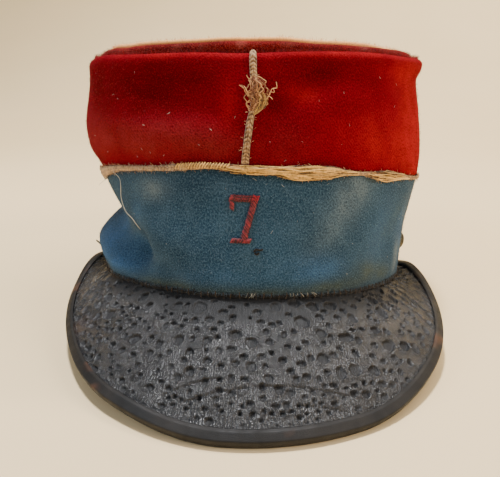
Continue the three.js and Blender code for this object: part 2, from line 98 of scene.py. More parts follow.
# Waves of the cloth's two edges.
EDGE_WAVES = table(
    "level fade angle spread rise",
    (0, 0.45, -67, 18, 4.0),
    (1, 0.40, -9, 10, 1.2),
    (1, 0.45, 66, 24, -2.0),
    (2, 0.80, -90, 27, 8.6),
    (2, 0.70, -50, 19, 2.2),
    (2, 0.70, 0, 9, -0.7),
    (2, 0.70, 36, 19, 1.5),
    (2, 0.80, 84, 30, 7.2),
)

# The front seam strays to the right on its way up.
FRONT_SEAM = table(
    "level angle",
    (1.00, 0.3), (1.25, 0.8), (1.40, 1.3), (1.60, 2.3), (1.68, 2.4), (1.80, 1.9), (2.00, 1.6),
)

# The piping's centre along the top edge, inside the cloth's surface and above its edge, and the direction
# from there to the thin braid beside it.
TOP_ROLL = table(
    "angle inset rise braid_turn",
    (-180, 2.8, 2.5, 40),
    (-125, 2.8, 2.5, 30),
    (-112, 4.4, 1.9, 25),
    (-98, 5.4, 0.3, 25),
    (-80, 5.4, 0.4, 25),
    (-70, 5.2, 0.8, 32),
    (-60, 4.9, 1.2, 45),
    (-50, 4.8, 1.4, 55),
    (-42, 4.9, 1.2, 58),
    (-35, 4.6, 1.7, 58),
    (-28, 4.2, 2.0, 58),
    (-14, 4.2, 2.1, 58),
    (-3, 2.8, 2.6, 58),
    (6, 3.3, 2.5, 58),
    (20, 4.8, 1.4, 58),
    (36, 5.0, 1.0, 55),
    (46, 5.0, 1.1, 45),
    (56, 4.9, 1.3, 35),
    (66, 5.2, 0.8, 28),
    (80, 5.4, 0.4, 25),
    (98, 5.4, 0.3, 25),
    (112, 4.4, 1.9, 25),
    (125, 2.8, 2.5, 30),
    (180, 2.8, 2.5, 40),
)

# The peak at each angle: its tuck under the rim, its edge's reach from the rim, and that edge's drop.
PEAK_EDGE = table(
    "angle tuck reach drop",
    (-88, 2.4, 3.0, 0.4),
    (-80, 2.4, 9.0, -1.6),
    (-62, 2.4, 17.6, 11.6),
    (-42, 2.0, 25.6, 24.2),
    (-21, 1.8, 35.7, 31.8),
    (0, 1.8, 41.0, 36.8),
    (21, 1.8, 38.8, 35.0),
    (42, 2.0, 31.2, 25.6),
    (62, 2.4, 20.0, 13.0),
    (80, 2.4, 7.0, -1.0),
    (88, 2.4, 3.0, 0.4),
)

PEAK_THICKNESS = 2.4
PEAK_CROWNING = 2.2
PEAK_END = 88.0
BINDING_DEPTH = 3.8
BINDING_WALL = 0.8
BINDING_LIP = 0.9


def read(rows, column, at, by="level"):
    """A column of a table at some places, through a cubic that never overshoots the rows."""
    places, values = rows[by], rows[column]
    slopes = np.diff(values) / np.diff(places)
    below, above = slopes[:-1], slopes[1:]
    turning = below * above <= 0
    inner = np.where(turning, 0, 2 * below * above / np.where(turning, 1, below + above))
    tangents = np.concatenate([slopes[:1], inner, slopes[-1:]])
    at = np.clip(at, places[0], places[-1])
    i = np.clip(np.searchsorted(places, at, side="right") - 1, 0, len(places) - 2)
    span = places[i + 1] - places[i]
    t = (at - places[i]) / span
    return (
        (2 * t**3 - 3 * t**2 + 1) * values[i]
        + (t**3 - 2 * t**2 + t) * span * tangents[i]
        + (-2 * t**3 + 3 * t**2) * values[i + 1]
        + (t**3 - t**2) * span * tangents[i + 1]
    )


def read_all(rows, columns, angle):
    """Several columns of a table at some angles."""
    return [read(rows, column, angle, "angle") for column in columns.split()]


def round_cap(count):
    """Angles all the way round the cap, one to a row, in degrees."""
    return np.linspace(-180, 180, count, endpoint=False)[:, None]


def full_turn(count):
    """Directions all the way round a thread or roll, in radians."""
    return np.linspace(0, 2 * math.pi, count, endpoint=False)


def lengths_along(points):
    """The length from the first of a row of points to each of them."""
    return np.concatenate([[0], np.cumsum(np.linalg.norm(np.diff(points, axis=0), axis=-1))])


def smoothstep(x, low, high):
    """0 below `low` and 1 above `high`, with a smooth rise between, or a fall if they are swapped."""
    t = np.clip((x - low) / (high - low), 0, 1)
    return t * t * (3 - 2 * t)


def fold_push(angle, level):
    """How far the folds push the cloth out."""
    x, y = np.radians(angle) * FOLD_RADIUS, level * LEVEL_HEIGHT
    total = 0
    for a0, l0, a1, l1, width, depth in zip(*FOLDS.values()):
        start = np.array([math.radians(a0) * FOLD_RADIUS, l0 * LEVEL_HEIGHT])
        end = np.array([math.radians(a1) * FOLD_RADIUS, l1 * LEVEL_HEIGHT])
        length = np.linalg.norm(end - start)
        along = (end - start) / length
        travelled = (x - start[0]) * along[0] + (y - start[1]) * along[1]
        across = (x - start[0]) * along[1] - (y - start[1]) * along[0]
        beyond = np.maximum(np.maximum(-travelled, travelled - length), 0)
        total = total + depth * np.exp(-((across / width) ** 2) - (beyond / (1.2 * width)) ** 2)
    return total


def edge_rise(angle, level):
    """How far the edge waves lift the cloth."""
    total = 0
    for edge, fade, middle, spread, rise in zip(*EDGE_WAVES.values()):
        share = 1 - smoothstep(np.abs(level - edge), 0, fade)
        total = total + rise * share * np.exp(-(((angle - middle) / spread) ** 2))
    return total


def wall(angle, level, offset=0.0, folded=True):
    """Points `offset` outside the cloth wall's outer surface."""
    angle, level, offset = np.broadcast_arrays(angle, level, offset)
    turned = np.radians(angle)
    s = np.sign(np.sin(turned)) * np.abs(np.sin(turned)) ** (2 / ROUNDNESS)
    c = np.sign(np.cos(turned)) * np.abs(np.cos(turned)) ** (2 / ROUNDNESS)
    front, back = read(SECTIONS, "front", level), read(SECTIONS, "back", level)
    x = s * np.where(s > 0, read(SECTIONS, "right", level), read(SECTIONS, "left", level))
    y = -c * np.where(c > 0, front, back)
    share = (y + front) / (front + back)
    low, high = read(SECTIONS, "front_height", level), read(SECTIONS, "back_height", level)
    wrapped = (angle + 180) % 360 - 180
    z = low + (high - low) * share + edge_rise(wrapped, level)
    push = offset + (fold_push(wrapped, level) if folded else 0)
    length = np.hypot(s, c)
    return np.stack([x + push * s / length, y - push * c / length, z], -1)


def beside(angle, level, x, y, offset):
    """Points x millimetres round and y millimetres up the cloth from a place on it."""
    return wall(angle + np.degrees(x / FOLD_RADIUS), level + y / LEVEL_HEIGHT, offset)


def unit(vectors):
    """Vectors brought to length 1."""
    return vectors / np.linalg.norm(vectors, axis=-1, keepdims=True)


def wall_normal(angle, level):
    """Outward directions square to the cloth."""
    level = np.minimum(level, 1.98)
    across = wall(angle + 0.5, level) - wall(angle - 0.5, level)
    up = wall(angle, level + 0.02) - wall(angle, np.maximum(level - 0.02, 0))
    return unit(np.cross(across, up))


def seam_angle(seam, level):
    """The angle of an upright seam at a level."""
    return read(FRONT_SEAM, "angle", level) if seam == 0 else seam + 0 * level


def peak_frame(angle):
    """The peak's inner edge, the way out along it, its length and the way up from it."""
    inner = wall(angle, 0, -CLOTH / 2)
    inner[..., 2] -= read(PEAK_EDGE, "tuck", angle, "angle")
    turned = np.radians(angle)
    out = np.stack([np.sin(turned), -np.cos(turned), 0 * turned], -1)
    edge = wall(angle, 0, 0, folded=False) + out * read(PEAK_EDGE, "reach", angle, "angle")[..., None]
    edge[..., 2] = -read(PEAK_EDGE, "drop", angle, "angle")
    length = np.linalg.norm(edge - inner, axis=-1)
    slope = (edge - inner) / length[..., None]
    side = np.stack([-np.cos(turned), -np.sin(turned), 0 * turned], -1)
    up = unit(np.cross(side, slope))
    return inner, slope, length, up * np.where(up[..., 2:] < 0, -1, 1)


def peak_point(angle, share, height, beyond=0.0):
    """Points on the peak: share 0 is at the band and 1 at the outer edge."""
    angle, share, height, beyond = np.broadcast_arrays(angle, share, height, beyond)
    inner, slope, length, up = peak_frame(angle)
    arch = PEAK_CROWNING * (length / 60) * 4 * share * (1 - share)
    return inner + slope * (share * length + beyond)[..., None] + up * (arch + height)[..., None]


# ---- Standing on the floor ----

RING = np.arange(-180, 180, 5)
BAND_LEVELS = np.array([0, 0.1, 0.22, 0.34, 0.46, 0.58, 0.7, 0.83, 0.94, 1.0])


def tipped(points, tilt):
    """Points turned back about the x axis by `tilt`."""
    y, z = points[..., 1], points[..., 2]
    turned_y = y * math.cos(tilt) + z * math.sin(tilt)
    return np.stack([points[..., 0], turned_y, z * math.cos(tilt) - y * math.sin(tilt)], -1)


def find_rest():
    """The tilt, drop and shift that put the cap's band where the frame has it."""
    low, high = (np.array(corner) * 1000 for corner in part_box("band"))
    cloth = np.concatenate([
        wall(RING[:, None], BAND_LEVELS, offset).reshape(-1, 3) for offset in (0, -CLOTH)])
    pressed, tilt_low, tilt_high = 0.5, math.radians(5), math.radians(15)
    for _ in range(40):
        tilt = (tilt_low + tilt_high) / 2
        turned = tipped(cloth, tilt)
        height = np.ptp(turned[:, 2]) - pressed
        tilt_low, tilt_high = (tilt, tilt_high) if height < high[2] else (tilt_low, tilt)
    drop = turned[:, 2].max() - high[2]
    middle = (turned.min(0) + turned.max(0)) / 2
    shift = (low + high) / 2 - middle
    return tilt, drop, shift[:2]


REST_TILT, REST_DROP, REST_SHIFT = find_rest()


def stand(points):
    """From the cap's frame in millimetres to the row's in metres, pressed flat on the floor."""
    placed = tipped(np.asarray(points, float), REST_TILT)
    placed[..., :2] += REST_SHIFT
    placed[..., 2] = np.maximum(placed[..., 2] - REST_DROP, 0)
    return placed / 1000


# ---- Building meshes ----

LATTICE = np.random.default_rng(11).uniform(-1, 1, (32, 32, 32))


def noise(points, grain, octaves=1):
    """Smooth noise between about -1 and 1, for points in millimetres."""
    total, strength, norm = 0, 1.0, 0.0
    for octave in range(octaves):
        scaled = np.asarray(points) / grain * 2**octave + 7.3 * octave
        cell = np.floor(scaled).astype(int)
        f = scaled - cell
        f = f * f * (3 - 2 * f)
        value = 0
        for corner in np.ndindex(2, 2, 2):
            weight = np.prod(np.where(corner, f, 1 - f), axis=-1)
            i, j, k = np.moveaxis((cell + corner) % 32, -1, 0)
            value = value + weight * LATTICE[i, j, k]
        total, norm = total + strength * value, norm + strength
        strength /= 2
    return total / norm


def patches(points, grain, gain, cut, most, octaves=2):
    """The strength of uneven patches, from 0 to `most`."""
    return np.clip(gain * noise(points, grain, octaves) - cut, 0, most)


def add_piece(name, points, faces, material, slot, stands_for=(), uv=None, values=None):
    """A mesh piece of the cap from points in the cap's frame. `values` holds its point attributes."""
    mesh = bpy.data.meshes.new(name)
    mesh.from_pydata(stand(points).reshape(-1, 3).tolist(), [], faces)
    mesh.validate()
    if uv is not None:
        layer = mesh.uv_layers.new(name="cloth")
        layer.data.foreach_set("uv", np.asarray(uv, np.float32).ravel())
    for key, value in (values or {}).items():
        attribute = mesh.attributes.new(key, "FLOAT", "POINT")
        attribute.data.foreach_set("value", np.asarray(value, np.float32).ravel())
    mesh.polygons.foreach_set("use_smooth", [True] * len(mesh.polygons))
    mesh.materials.append(material)
    piece = bpy.data.objects.new(name, mesh)
    bpy.context.collection.objects.link(piece)
    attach(piece, "root")
    if stands_for:
        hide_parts(*stands_for)
    return piece


def grid_faces(rows, columns, rows_close, columns_close, flipped=False):
    """Quads of a grid and each corner's (row, column), which doesn't wrap, for texture coordinates."""
    i, j = np.meshgrid(
        np.arange(rows - (not rows_close)), np.arange(columns - (not columns_close)), indexing="ij")
    corners = [(i, j), (i + 1, j), (i + 1, j + 1), (i, j + 1)]
    if flipped:
        corners.reverse()
    places = np.stack([np.stack(corner, -1) for corner in corners], -2).reshape(-1, 4, 2)
    faces = (places[..., 0] % rows) * columns + places[..., 1] % columns
    return faces, places


def faces_inward(points, faces):
    """Whether a closed grid's faces point in, from the sign of its volume."""
    flat = points.reshape(-1, 3)
    a, b, c, d = (flat[faces[:, k]] for k in range(4))
    return np.einsum("ij,ij->i", a, np.cross(b, c) + np.cross(c, d)).sum() < 0


def add_grid(name, points, material, slot, along, around, rows_close=False, columns_close=True,
             capped=False, **more):
    """A piece whose points form a grid. `along` and `around` are its texture coordinates in millimetres,
    or None for a flat piece that takes them from above."""
    rows, columns = points.shape[:2]
    faces, places = grid_faces(rows, columns, rows_close, columns_close)
    if faces_inward(points, faces):
        faces, places = grid_faces(rows, columns, rows_close, columns_close, flipped=True)
    if along is None:
        uv = points.reshape(-1, 3)[faces, :2].reshape(-1, 2)
    else:
        along = np.append(along, 2 * along[-1] - along[-2])
        around = np.append(around, 2 * around[-1] - around[-2])
        uv = np.stack([along[places[..., 0]], around[places[..., 1]]], -1).reshape(-1, 2)
    faces = faces.tolist()
    if capped:
        ends = [list(range(columns)), list(range((rows - 1) * columns, rows * columns))]
        faces += [ends[0], ends[1][::-1]]
        uv = np.concatenate([uv, np.zeros((2 * columns, 2))])
    return add_piece(name, points, faces, material, slot, uv=uv, **more)


def add_strands(name, routes, radius, tones, material, slot, sides=5, golds=None, **more):
    """Many thin threads in one piece. Each route is an array of points; the rest may be one for each."""
    radii = np.broadcast_to(radius, len(routes))
    points, faces, sizes = [], [], []
    turn = full_turn(sides)
    for route, radius_here in zip(routes, radii):
        heading = unit(np.gradient(route, axis=0) + 1e-9)
        helper = np.where(np.abs(heading[:, 2:]) > 0.9, [1.0, 0, 0], [0, 0, 1.0])
        side = unit(np.cross(heading, helper))
        rise = np.cross(heading, side)
        taper = np.ones(len(route))
        taper[[0, -1]] = 0.25
        ring = side[:, None] * np.cos(turn)[:, None] + rise[:, None] * np.sin(turn)[:, None]
        tube = route[:, None] + ring * (radius_here * taper)[:, None, None]
        quads, _ = grid_faces(len(route), sides, False, True)
        points.append(tube.reshape(-1, 3))
        faces.append(quads + sum(sizes))
        sizes.append(len(route) * sides)
    values = {"tone": np.repeat(tones, sizes)}
    if golds is not None:
        values["gold"] = np.repeat(golds, sizes)
    return add_piece(name, np.concatenate(points), np.concatenate(faces).tolist(), material, slot,
                     values=values, **more)


def add_nap(name, roots, out, down, length, material, slot, seed):
    """Short fibres that stand a little off the cloth, combed one way, as thin tapering strips."""
    random = np.random.default_rng(seed)
    count = len(roots)
    lift = random.uniform(0.15, 0.9, (count, 1))
    comb = unit(down + random.normal(0, 0.7, (count, 3)))
    way = unit(comb + out * lift)
    reach = length * random.uniform(0.4, 1.0, (count, 1))
    curl = random.normal(0, 0.25, (count, 3))
    middle = roots + way * reach * 0.5 + curl * reach * 0.2
    tip = roots + way * reach + (curl + comb * 0.3) * reach * 0.5
    side = unit(np.cross(way, random.normal(0, 1, (count, 3)))) * 0.035
    points = np.stack([roots - side, roots + side, middle + side * 0.8, middle - side * 0.8, tip], 1)
    first = 5 * np.arange(count)[:, None]
    quads = (first + [0, 1, 2, 3]).tolist()
    tips = (first + [3, 2, 4]).tolist()
    tone = np.repeat(random.uniform(0, 1, count), 5)
    return add_piece(name, points.reshape(-1, 3), quads + tips, material, slot, values={"tone": tone})


# ---- Materials ----


class Nodes:
    """A short way to write a material's nodes."""

    def __init__(self, name):
        self.material = bpy.data.materials.new(name)
        self.material.use_nodes = True
        self.tree = self.material.node_tree
        self.shader = self.tree.nodes["Principled BSDF"]
        self.place = self.add("TexCoord", output="Object")

    def add(self, kind, inputs=(), output=0, **settings):
        made = self.tree.nodes.new("ShaderNode" + kind)
        for key, value in settings.items():
            setattr(made, key, value)
        for key, value in dict(inputs).items():
            self.connect(made.inputs[key], value)
        return made.outputs[output]

    def connect(self, socket, value):
        if isinstance(value, bpy.types.NodeSocket):
            self.tree.links.new(value, socket)
        else:
            socket.default_value = value

    def attribute(self, name):
        return self.add("Attribute", attribute_name=name, output="Fac")

    def math(self, operation, a, b=0.0, clamp=False):
        return self.add("Math", {0: a, 1: b}, operation=operation, use_clamp=clamp)

    def mix(self, share, a, b):
        made = self.tree.nodes.new("ShaderNodeMix")
        made.data_type = "RGBA"
        for socket, value in zip((made.inputs[0], made.inputs[6], made.inputs[7]), (share, a, b)):
            self.connect(socket, value)
        return made.outputs[2]

    def remap(self, value, low, high, to_low=0.0, to_high=1.0):
        inputs = {"Value": value, "From Min": low, "From Max": high, "To Min": to_low, "To Max": to_high}
        return self.add("MapRange", inputs)

    def noise(self, vector, scale, detail=3.0, roughness=0.55):
        inputs = {"Vector": vector, "Scale": scale, "Detail": detail, "Roughness": roughness}
        return self.add("TexNoise", inputs)

    def scaled(self, vector, scale):
        return self.add("VectorMath", {0: vector, 1: scale}, operation="MULTIPLY")

    def bump(self, height, distance, strength=1.0, normal=None):
        inputs = {"Height": height, "Distance": distance, "Strength": strength}
        if normal is not None:
            inputs["Normal"] = normal
        return self.add("Bump", inputs)

    def finish(self, color, roughness, normal=None, **constants):
        self.connect(self.shader.inputs["Base Color"], color)
        self.connect(self.shader.inputs["Roughness"], roughness)
        if normal is not None:
            self.connect(self.shader.inputs["Normal"], normal)
        for key, value in constants.items():
            self.shader.inputs[key.replace("_", " ")].default_value = value
        return self.material


def srgb(red, green, blue):
    """A colour given as 0 to 255, as the eye sees it, in the linear form that shaders take."""
    channels = [c / 255 for c in (red, green, blue)]
    linear = [c / 12.92 if c <= 0.04045 else ((c + 0.055) / 1.055) ** 2.4 for c in channels]
    return (*linear, 1.0)


def felt(name, deep, mid, light, stains_and_painted_light, ribs=0.3, sheen=0.08):
    """Milled wool: mottled colour, a faint twill under a short nap, and soft tints that are partly stains and
    partly painted shade and painted highlights.
    """
    n = Nodes(name)
    cloth = n.add("TexCoord", output="UV")
    cloud = n.noise(n.place, 30.0, 3.0)
    patch = n.noise(n.place, 130.0, 3.0)
    grain = n.noise(cloth, 1.5, 3.0, 0.75)
    hairs = n.noise(n.scaled(cloth, (1.0, 0.35, 1.0)), 3.2, 2.0, 0.6)
    twill = n.add("TexWave", {"Vector": cloth, "Scale": 0.45, "Distortion": 2.0, "Detail": 1.0,
                              "Detail Scale": 1.5}, output="Fac", bands_direction="DIAGONAL")
    color = n.mix(n.remap(cloud, 0.3, 0.6, 0.35, 1.0), deep, mid)
    color = n.mix(n.remap(patch, 0.45, 0.7, 0.0, 0.22), color, light)
    for attribute, tint in stains_and_painted_light:
        # The share of each tint: stains, and painted shade and painted highlights where the tables put them.
        worn = n.math("MULTIPLY", n.attribute(attribute), n.remap(patch, 0.35, 0.65, 0.65, 1.2))
        worn = n.math("MULTIPLY", worn, n.remap(grain, 0.35, 0.65, 0.6, 1.2), clamp=True)
        color = n.mix(worn, color, tint)
    color = n.mix(n.remap(grain, 0.5, 0.66, 0.0, 0.6), color, light)
    color = n.mix(n.remap(grain, 0.5, 0.34, 0.0, 0.75), color, deep)
    color = n.mix(n.remap(hairs, 0.54, 0.72, 0.0, 0.5), color, light)
    color = n.mix(n.remap(twill, 0.35, 0.0, 0.0, ribs), color, deep)
    normal = n.bump(patch, 0.0008, 0.25)
    normal = n.bump(grain, 0.0005, 0.9, normal)
    normal = n.bump(hairs, 0.0002, 0.6, normal)
    normal = n.bump(twill, 0.00012, ribs, normal)
    return n.finish(color, 0.95, normal, Sheen_Weight=sheen, Sheen_Roughness=0.45,
                    Specular_IOR_Level=0.02)


def yarn(name, dark, light, gold=None, sheen=0.15, rough=0.8):
    """Spun thread, darker to lighter by `tone`: on the braids that is a painted highlight where the thread
    stands up and painted shade in the gaps, elsewhere the thread's own uneven tone.
    """
    n = Nodes(name)
    speck = n.remap(n.noise(n.place, 1100.0, 3.0, 0.65), 0.3, 0.7, -0.3, 0.3)
    shade = n.math("ADD", n.attribute("tone"), speck, clamp=True)
    if gold is not None:
        light = n.mix(n.attribute("gold"), light, gold)
    color = n.mix(shade, dark, light)
    normal = n.bump(n.noise(n.place, 2600.0, 2.0), 0.0001, 0.6)
    return n.finish(color, rough, normal, Sheen_Weight=sheen, Specular_IOR_Level=0.3)


def leather(name, dark, light, brown, wrinkles=1.0, rough=(0.12, 0.36), gloss=0.5):
    """Old varnished leather: glossy, with fine wrinkles that run out from the band, and browned by wear."""
    n = Nodes(name)
    skin = n.add("TexCoord", output="UV")
    ridges = n.add("TexWave", {"Vector": skin, "Scale": 0.3, "Distortion": 10.0, "Detail": 3.0,
                               "Detail Scale": 1.2, "Detail Roughness": 0.6}, output="Fac")
    fine = n.noise(skin, 2.2, 4.0, 0.65)
    worn = n.noise(n.place, 70.0, 4.0, 0.6)
    shiny = n.noise(n.place, 220.0, 4.0)
    pit_and_band_shadow = n.attribute("pit_and_band_shadow")
    color = n.mix(n.remap(worn, 0.35, 0.7), dark, light)
    color = n.mix(n.remap(ridges, 0.4, 0.0, 0.0, 0.6 * wrinkles), color, dark)
    color = n.mix(n.remap(fine, 0.55, 0.75, 0.0, 0.4), color, light)
    # Dark in the pits, and painted shadow next to the band.
    color = n.mix(pit_and_band_shadow, color, dark)
    color = n.mix(n.attribute("rust"), color, brown)
    normal = n.bump(ridges, 0.0003, 0.6 * wrinkles)
    normal = n.bump(fine, 0.0003, 0.3 + 0.4 * wrinkles, normal)
    roughness = n.math("ADD", n.remap(shiny, 0.3, 0.7, *rough), n.math("MULTIPLY", pit_and_band_shadow, 0.45))
    return n.finish(color, roughness, normal, Specular_IOR_Level=gloss)


def tarnished_brass(name):
    """Dull brass, darker in patches."""
    n = Nodes(name)
    patch = n.remap(n.noise(n.place, 300.0, 5.0), 0.35, 0.7)
    color = n.mix(patch, srgb(54, 50, 40), srgb(108, 98, 70))
    roughness = n.remap(n.noise(n.place, 500.0, 3.0), 0.3, 0.7, 0.35, 0.65)
    normal = n.bump(n.noise(n.place, 900.0, 3.0), 0.0002, 0.3)
    return n.finish(color, roughness, normal, Metallic=0.85)


def matte(name, color, light):
    """The floor and backdrop's plain paint."""
    n = Nodes(name)
    return n.finish(n.mix(n.remap(n.noise(n.place, 2.0), 0.3, 0.7), color, light), 0.9)


RED_FELT = felt("red_felt", (0.078, 0, 0.003, 1), (0.175, 0, 0.008, 1), (0.31, 0.008, 0.018, 1), (
    ("pale", (0.27, 0.040, 0.036, 1)), ("deep", (0.060, 0, 0, 1)), ("orange", (0.44, 0.013, 0.012, 1))),
    sheen=0.0)
BLUE_FELT = felt("blue_felt", srgb(22, 40, 58), srgb(47, 75, 97), srgb(92, 120, 140), (
    ("pale", srgb(146, 154, 152)), ("deep", srgb(18, 40, 62)), ("bright", srgb(66, 106, 150)),
    ("olive", srgb(78, 80, 50))), ribs=0.15)
RED_NAP = yarn("red_nap", srgb(90, 0, 6), srgb(166, 14, 20), sheen=0.0)
BLUE_NAP = yarn("blue_nap", srgb(40, 64, 84), srgb(124, 146, 160))
PIPING_NAP = yarn("piping_nap", srgb(60, 8, 14), srgb(196, 92, 76))
PIPING_FELT = felt("piping_felt", srgb(56, 6, 12), srgb(118, 16, 22), srgb(168, 56, 46), (
    ("orange", srgb(190, 24, 22)), ("pale", srgb(150, 84, 74))), sheen=0.03)
STRAW = yarn("straw_braid", srgb(78, 50, 34), srgb(204, 168, 128), gold=srgb(214, 150, 70))
GOLD = yarn("golden_strands", srgb(64, 36, 14), srgb(246, 194, 106), sheen=0.2, rough=0.45)
PINK = yarn("pink_threads", srgb(110, 58, 32), srgb(228, 174, 122))
CREAM = yarn("cream_threads", srgb(176, 116, 66), srgb(248, 216, 160))
BRIGHT = yarn("top_braid_threads", srgb(204, 116, 58), srgb(246, 182, 110))
GREY = yarn("worn_threads", srgb(120, 84, 72), srgb(226, 204, 184))
WHITE = yarn("white_thread", srgb(150, 150, 140), srgb(220, 214, 196))
BLACK = yarn("black_thread", srgb(10, 9, 9), srgb(36, 30, 26))
BROWN = yarn("brown_stitches", srgb(18, 13, 11), srgb(96, 74, 52))
NUMERAL_RED = yarn("numeral_thread", srgb(58, 14, 24), srgb(168, 54, 64), gold=srgb(225, 14, 44),
                   sheen=0.2, rough=0.5)
PEAK_LEATHER = leather("peak_leather", srgb(16, 17, 20), srgb(53, 53, 55), srgb(84, 58, 42))
BINDING_LEATHER = leather("binding_leather", srgb(12, 12, 13), srgb(30, 27, 25), srgb(92, 58, 38),
                          wrinkles=0.1, rough=(0.45, 0.7), gloss=0.3)
BRASS = tarnished_brass("aged_brass")

# ---- Cloth ----

# Tints on the band and crown as soft spots, with their sizes in millimetres: stains, and painted shade and
# painted highlights where the folds meet the light.
SPOT_COLUMNS = "angle level width height strength"
BAND_SPOTS = {
    # pale: paler patches, and a painted highlight running down the right of the front.
    "pale": table(SPOT_COLUMNS,
        (-27, 0.84, 8, 4, 0.5), (33, 0.92, 9, 7, 0.27), (29, 0.76, 8, 7, 0.3), (24, 0.56, 8, 8, 0.16),
        (18, 0.34, 5, 5, 0.08), (62, 0.20, 4, 8, 0.7), (70, 0.6, 7, 16, 0.3), (-120, 0.5, 20, 12, 0.2),
        (150, 0.6, 25, 9, 0.2)),
    # deep: painted shadow under the seam braid and along the rim, painted shade in the crease at the left,
    # and a few darker spots.
    "deep": table(SPOT_COLUMNS,
        (-45, 0.96, 28, 2, 0.7), (-40, 0.62, 5, 9, 0.5), (-33, 0.40, 6, 7, 0.5), (0, 0.97, 40, 3, 0.6),
        (0, 0.03, 60, 3, 0.4), (8, 0.75, 9, 8, 0.25), (45, 0.72, 7, 9, 0.3), (-10, 0.30, 12, 8, 0.3),
        (170, 0.1, 60, 4, 0.4)),
    # bright: painted highlight on the bulges that face the light, most of all the one at the left.
    "bright": table(SPOT_COLUMNS,
        (-60, 0.30, 22, 11, 1.0), (-46, 0.12, 14, 5, 0.7), (-34, 0.60, 4, 5, 0.5), (-8, 0.12, 18, 4, 0.25),
        (21, 0.22, 13, 5, 0.7), (45, 0.5, 9, 12, 0.3), (66, 0.5, 8, 12, 0.5), (120, 0.3, 30, 10, 0.4)),
    "olive": table(SPOT_COLUMNS,
        (40, 0.17, 12, 4, 0.6), (29, 0.07, 14, 3, 0.75), (50, 0.10, 10, 4, 0.6), (-66, 0.03, 25, 3, 0.7),
        (-25, 0.03, 20, 2.5, 0.7), (5, 0.02, 25, 2.2, 0.6), (-48, 0.5, 5, 6, 0.4), (-140, 0.08, 25, 4, 0.5)),
}
CROWN_SPOTS = {
    "pale": table(SPOT_COLUMNS,
        (-50, 1.32, 20, 8, 0.6), (-24, 1.26, 22, 8, 0.55), (-6, 1.20, 10, 6, 0.3), (-70, 1.25, 14, 14, 0.4),
        (9, 1.22, 12, 9, 0.15), (130, 1.3, 30, 9, 0.25)),
    # deep: painted shade over the upper left and in the dents, and a darker strip below the top edge.
    "deep": table(SPOT_COLUMNS,
        (-25, 1.72, 20, 9, 1.0), (-48, 1.70, 22, 10, 1.0), (-10, 1.74, 10, 5, 0.6), (-26, 1.50, 22, 4, 0.5),
        (7, 1.60, 5, 6, 1.0), (20, 1.80, 15, 4.5, 0.9), (-1, 1.40, 2.5, 4, 0.7), (26, 1.52, 16, 5, 0.4),
        (9, 1.40, 8, 6, 0.3), (38, 1.38, 5, 3, 0.35), (2, 1.9, 60, 2, 0.3), (-150, 1.6, 25, 9, 0.4)),
    # orange: painted light on the right side and on ridges, in a warmer red.
    "orange": table(SPOT_COLUMNS,
        (58, 1.32, 14, 22, 1.0), (40, 1.24, 16, 10, 0.6), (14, 1.62, 8, 3.6, 0.5), (-3.5, 1.56, 3, 8, 0.3),
        (52, 1.85, 14, 6, 0.45), (30, 1.30, 12, 8, 0.25), (-88, 1.1, 8, 10, 0.3), (78, 1.5, 16, 32, 0.9),
        (-20, 1.97, 40, 1.5, 0.5), (25, 1.97, 30, 1.5, 0.6)),
}


def spots(rows, angle, level):
    """The strength of a set of soft spots at places on the cloth."""
    total = 0
    wrapped = (angle + 180) % 360 - 180
    for middle, height_level, width, height, strength in zip(*rows.values()):
        across = np.radians(wrapped - middle) * FOLD_RADIUS / width
        above = (level - height_level) * LEVEL_HEIGHT / height
        total = total + strength * np.exp(-(across**2) - above**2)
    return np.clip(total, 0, 1)


def wall_section(bottom, top, rows_outside, rows_inside):
    """Levels and offsets round a piece of wall, its edges rounded, and the length round it."""
    edge = CLOTH / 2 / LEVEL_HEIGHT
    turn = np.linspace(0, math.pi, 9)[1:-1]
    level = np.concatenate([
        np.linspace(bottom + edge, top - edge, rows_outside), top - edge + edge * np.sin(turn),
        np.linspace(top - edge, bottom + edge, rows_inside), bottom + edge - edge * np.sin(turn)])
    rounded = -CLOTH / 2 * (1 - np.cos(turn))
    offset = np.concatenate([
        np.zeros(rows_outside), rounded, np.full(rows_inside, -CLOTH), rounded[::-1]])
    return level, offset, lengths_along(np.stack([level * LEVEL_HEIGHT, offset], -1))


def relief(points):
    """Small unevenness of old cloth."""
    return 0.32 * noise(points, 17.0) + 0.14 * noise(points, 6.0, 2) - 0.12


def add_cloth(name, angle, section, material, slot, tints, **more):
    """A wall of felt: `angle` has a row for each step round the cap and a column for each section point."""
    level, offset, around = section
    level, offset = np.broadcast_arrays(level, offset)
    level = np.broadcast_to(level, angle.shape)
    offset = np.broadcast_to(offset, angle.shape)
    shift = relief(wall(angle, level)) * smoothstep(offset, -1.5, 0)
    points = wall(angle, level, offset + shift)
    along = np.radians(angle[:, 0]) * FOLD_RADIUS
    values = {key: spots(rows, angle, level) for key, rows in tints.items()}
    return add_grid(name, points, material, slot, along, around, values=values, **more)


def make_band():
    """The blue felt band."""
    section = wall_section(0, SEAM_LEVEL, 66, 16)
    angle = np.repeat(round_cap(480), len(section[0]), 1)
    add_cloth("band_felt", angle, section, BLUE_FELT, "blue_cloth", BAND_SPOTS, rows_close=True,
              stands_for=["band"])


def make_quarter(place, start):
    """A quarter of the red felt crown, between two upright seams."""
    section = wall_section(1.008, 2.0, 64, 12)
    level = section[0]
    gap = math.degrees(GAP / 2 / FOLD_RADIUS)
    low, high = seam_angle(start, level) + gap, seam_angle(start + 90, level) - gap
    share = np.linspace(0, 1, 120)[:, None]
    add_cloth(f"crown_felt_{place}", low + (high - low) * share, section, RED_FELT, "red_cloth",
              CROWN_SPOTS, capped=True, stands_for=[f"crown_{place}"])


TOP_SINK = 3.3
TOP_INSET = 3.4
PIPING_RADIUS = 2.1
TOP_BRAID_RADIUS = 1.0
TOP_BRAID_AWAY = 3.6


def top_point(angle, inset, rise):
    """Points inset from the crown's top edge and raised above it."""
    points = wall(angle, 2.0, -np.asarray(inset, float))
    points[..., 2] += rise
    return points


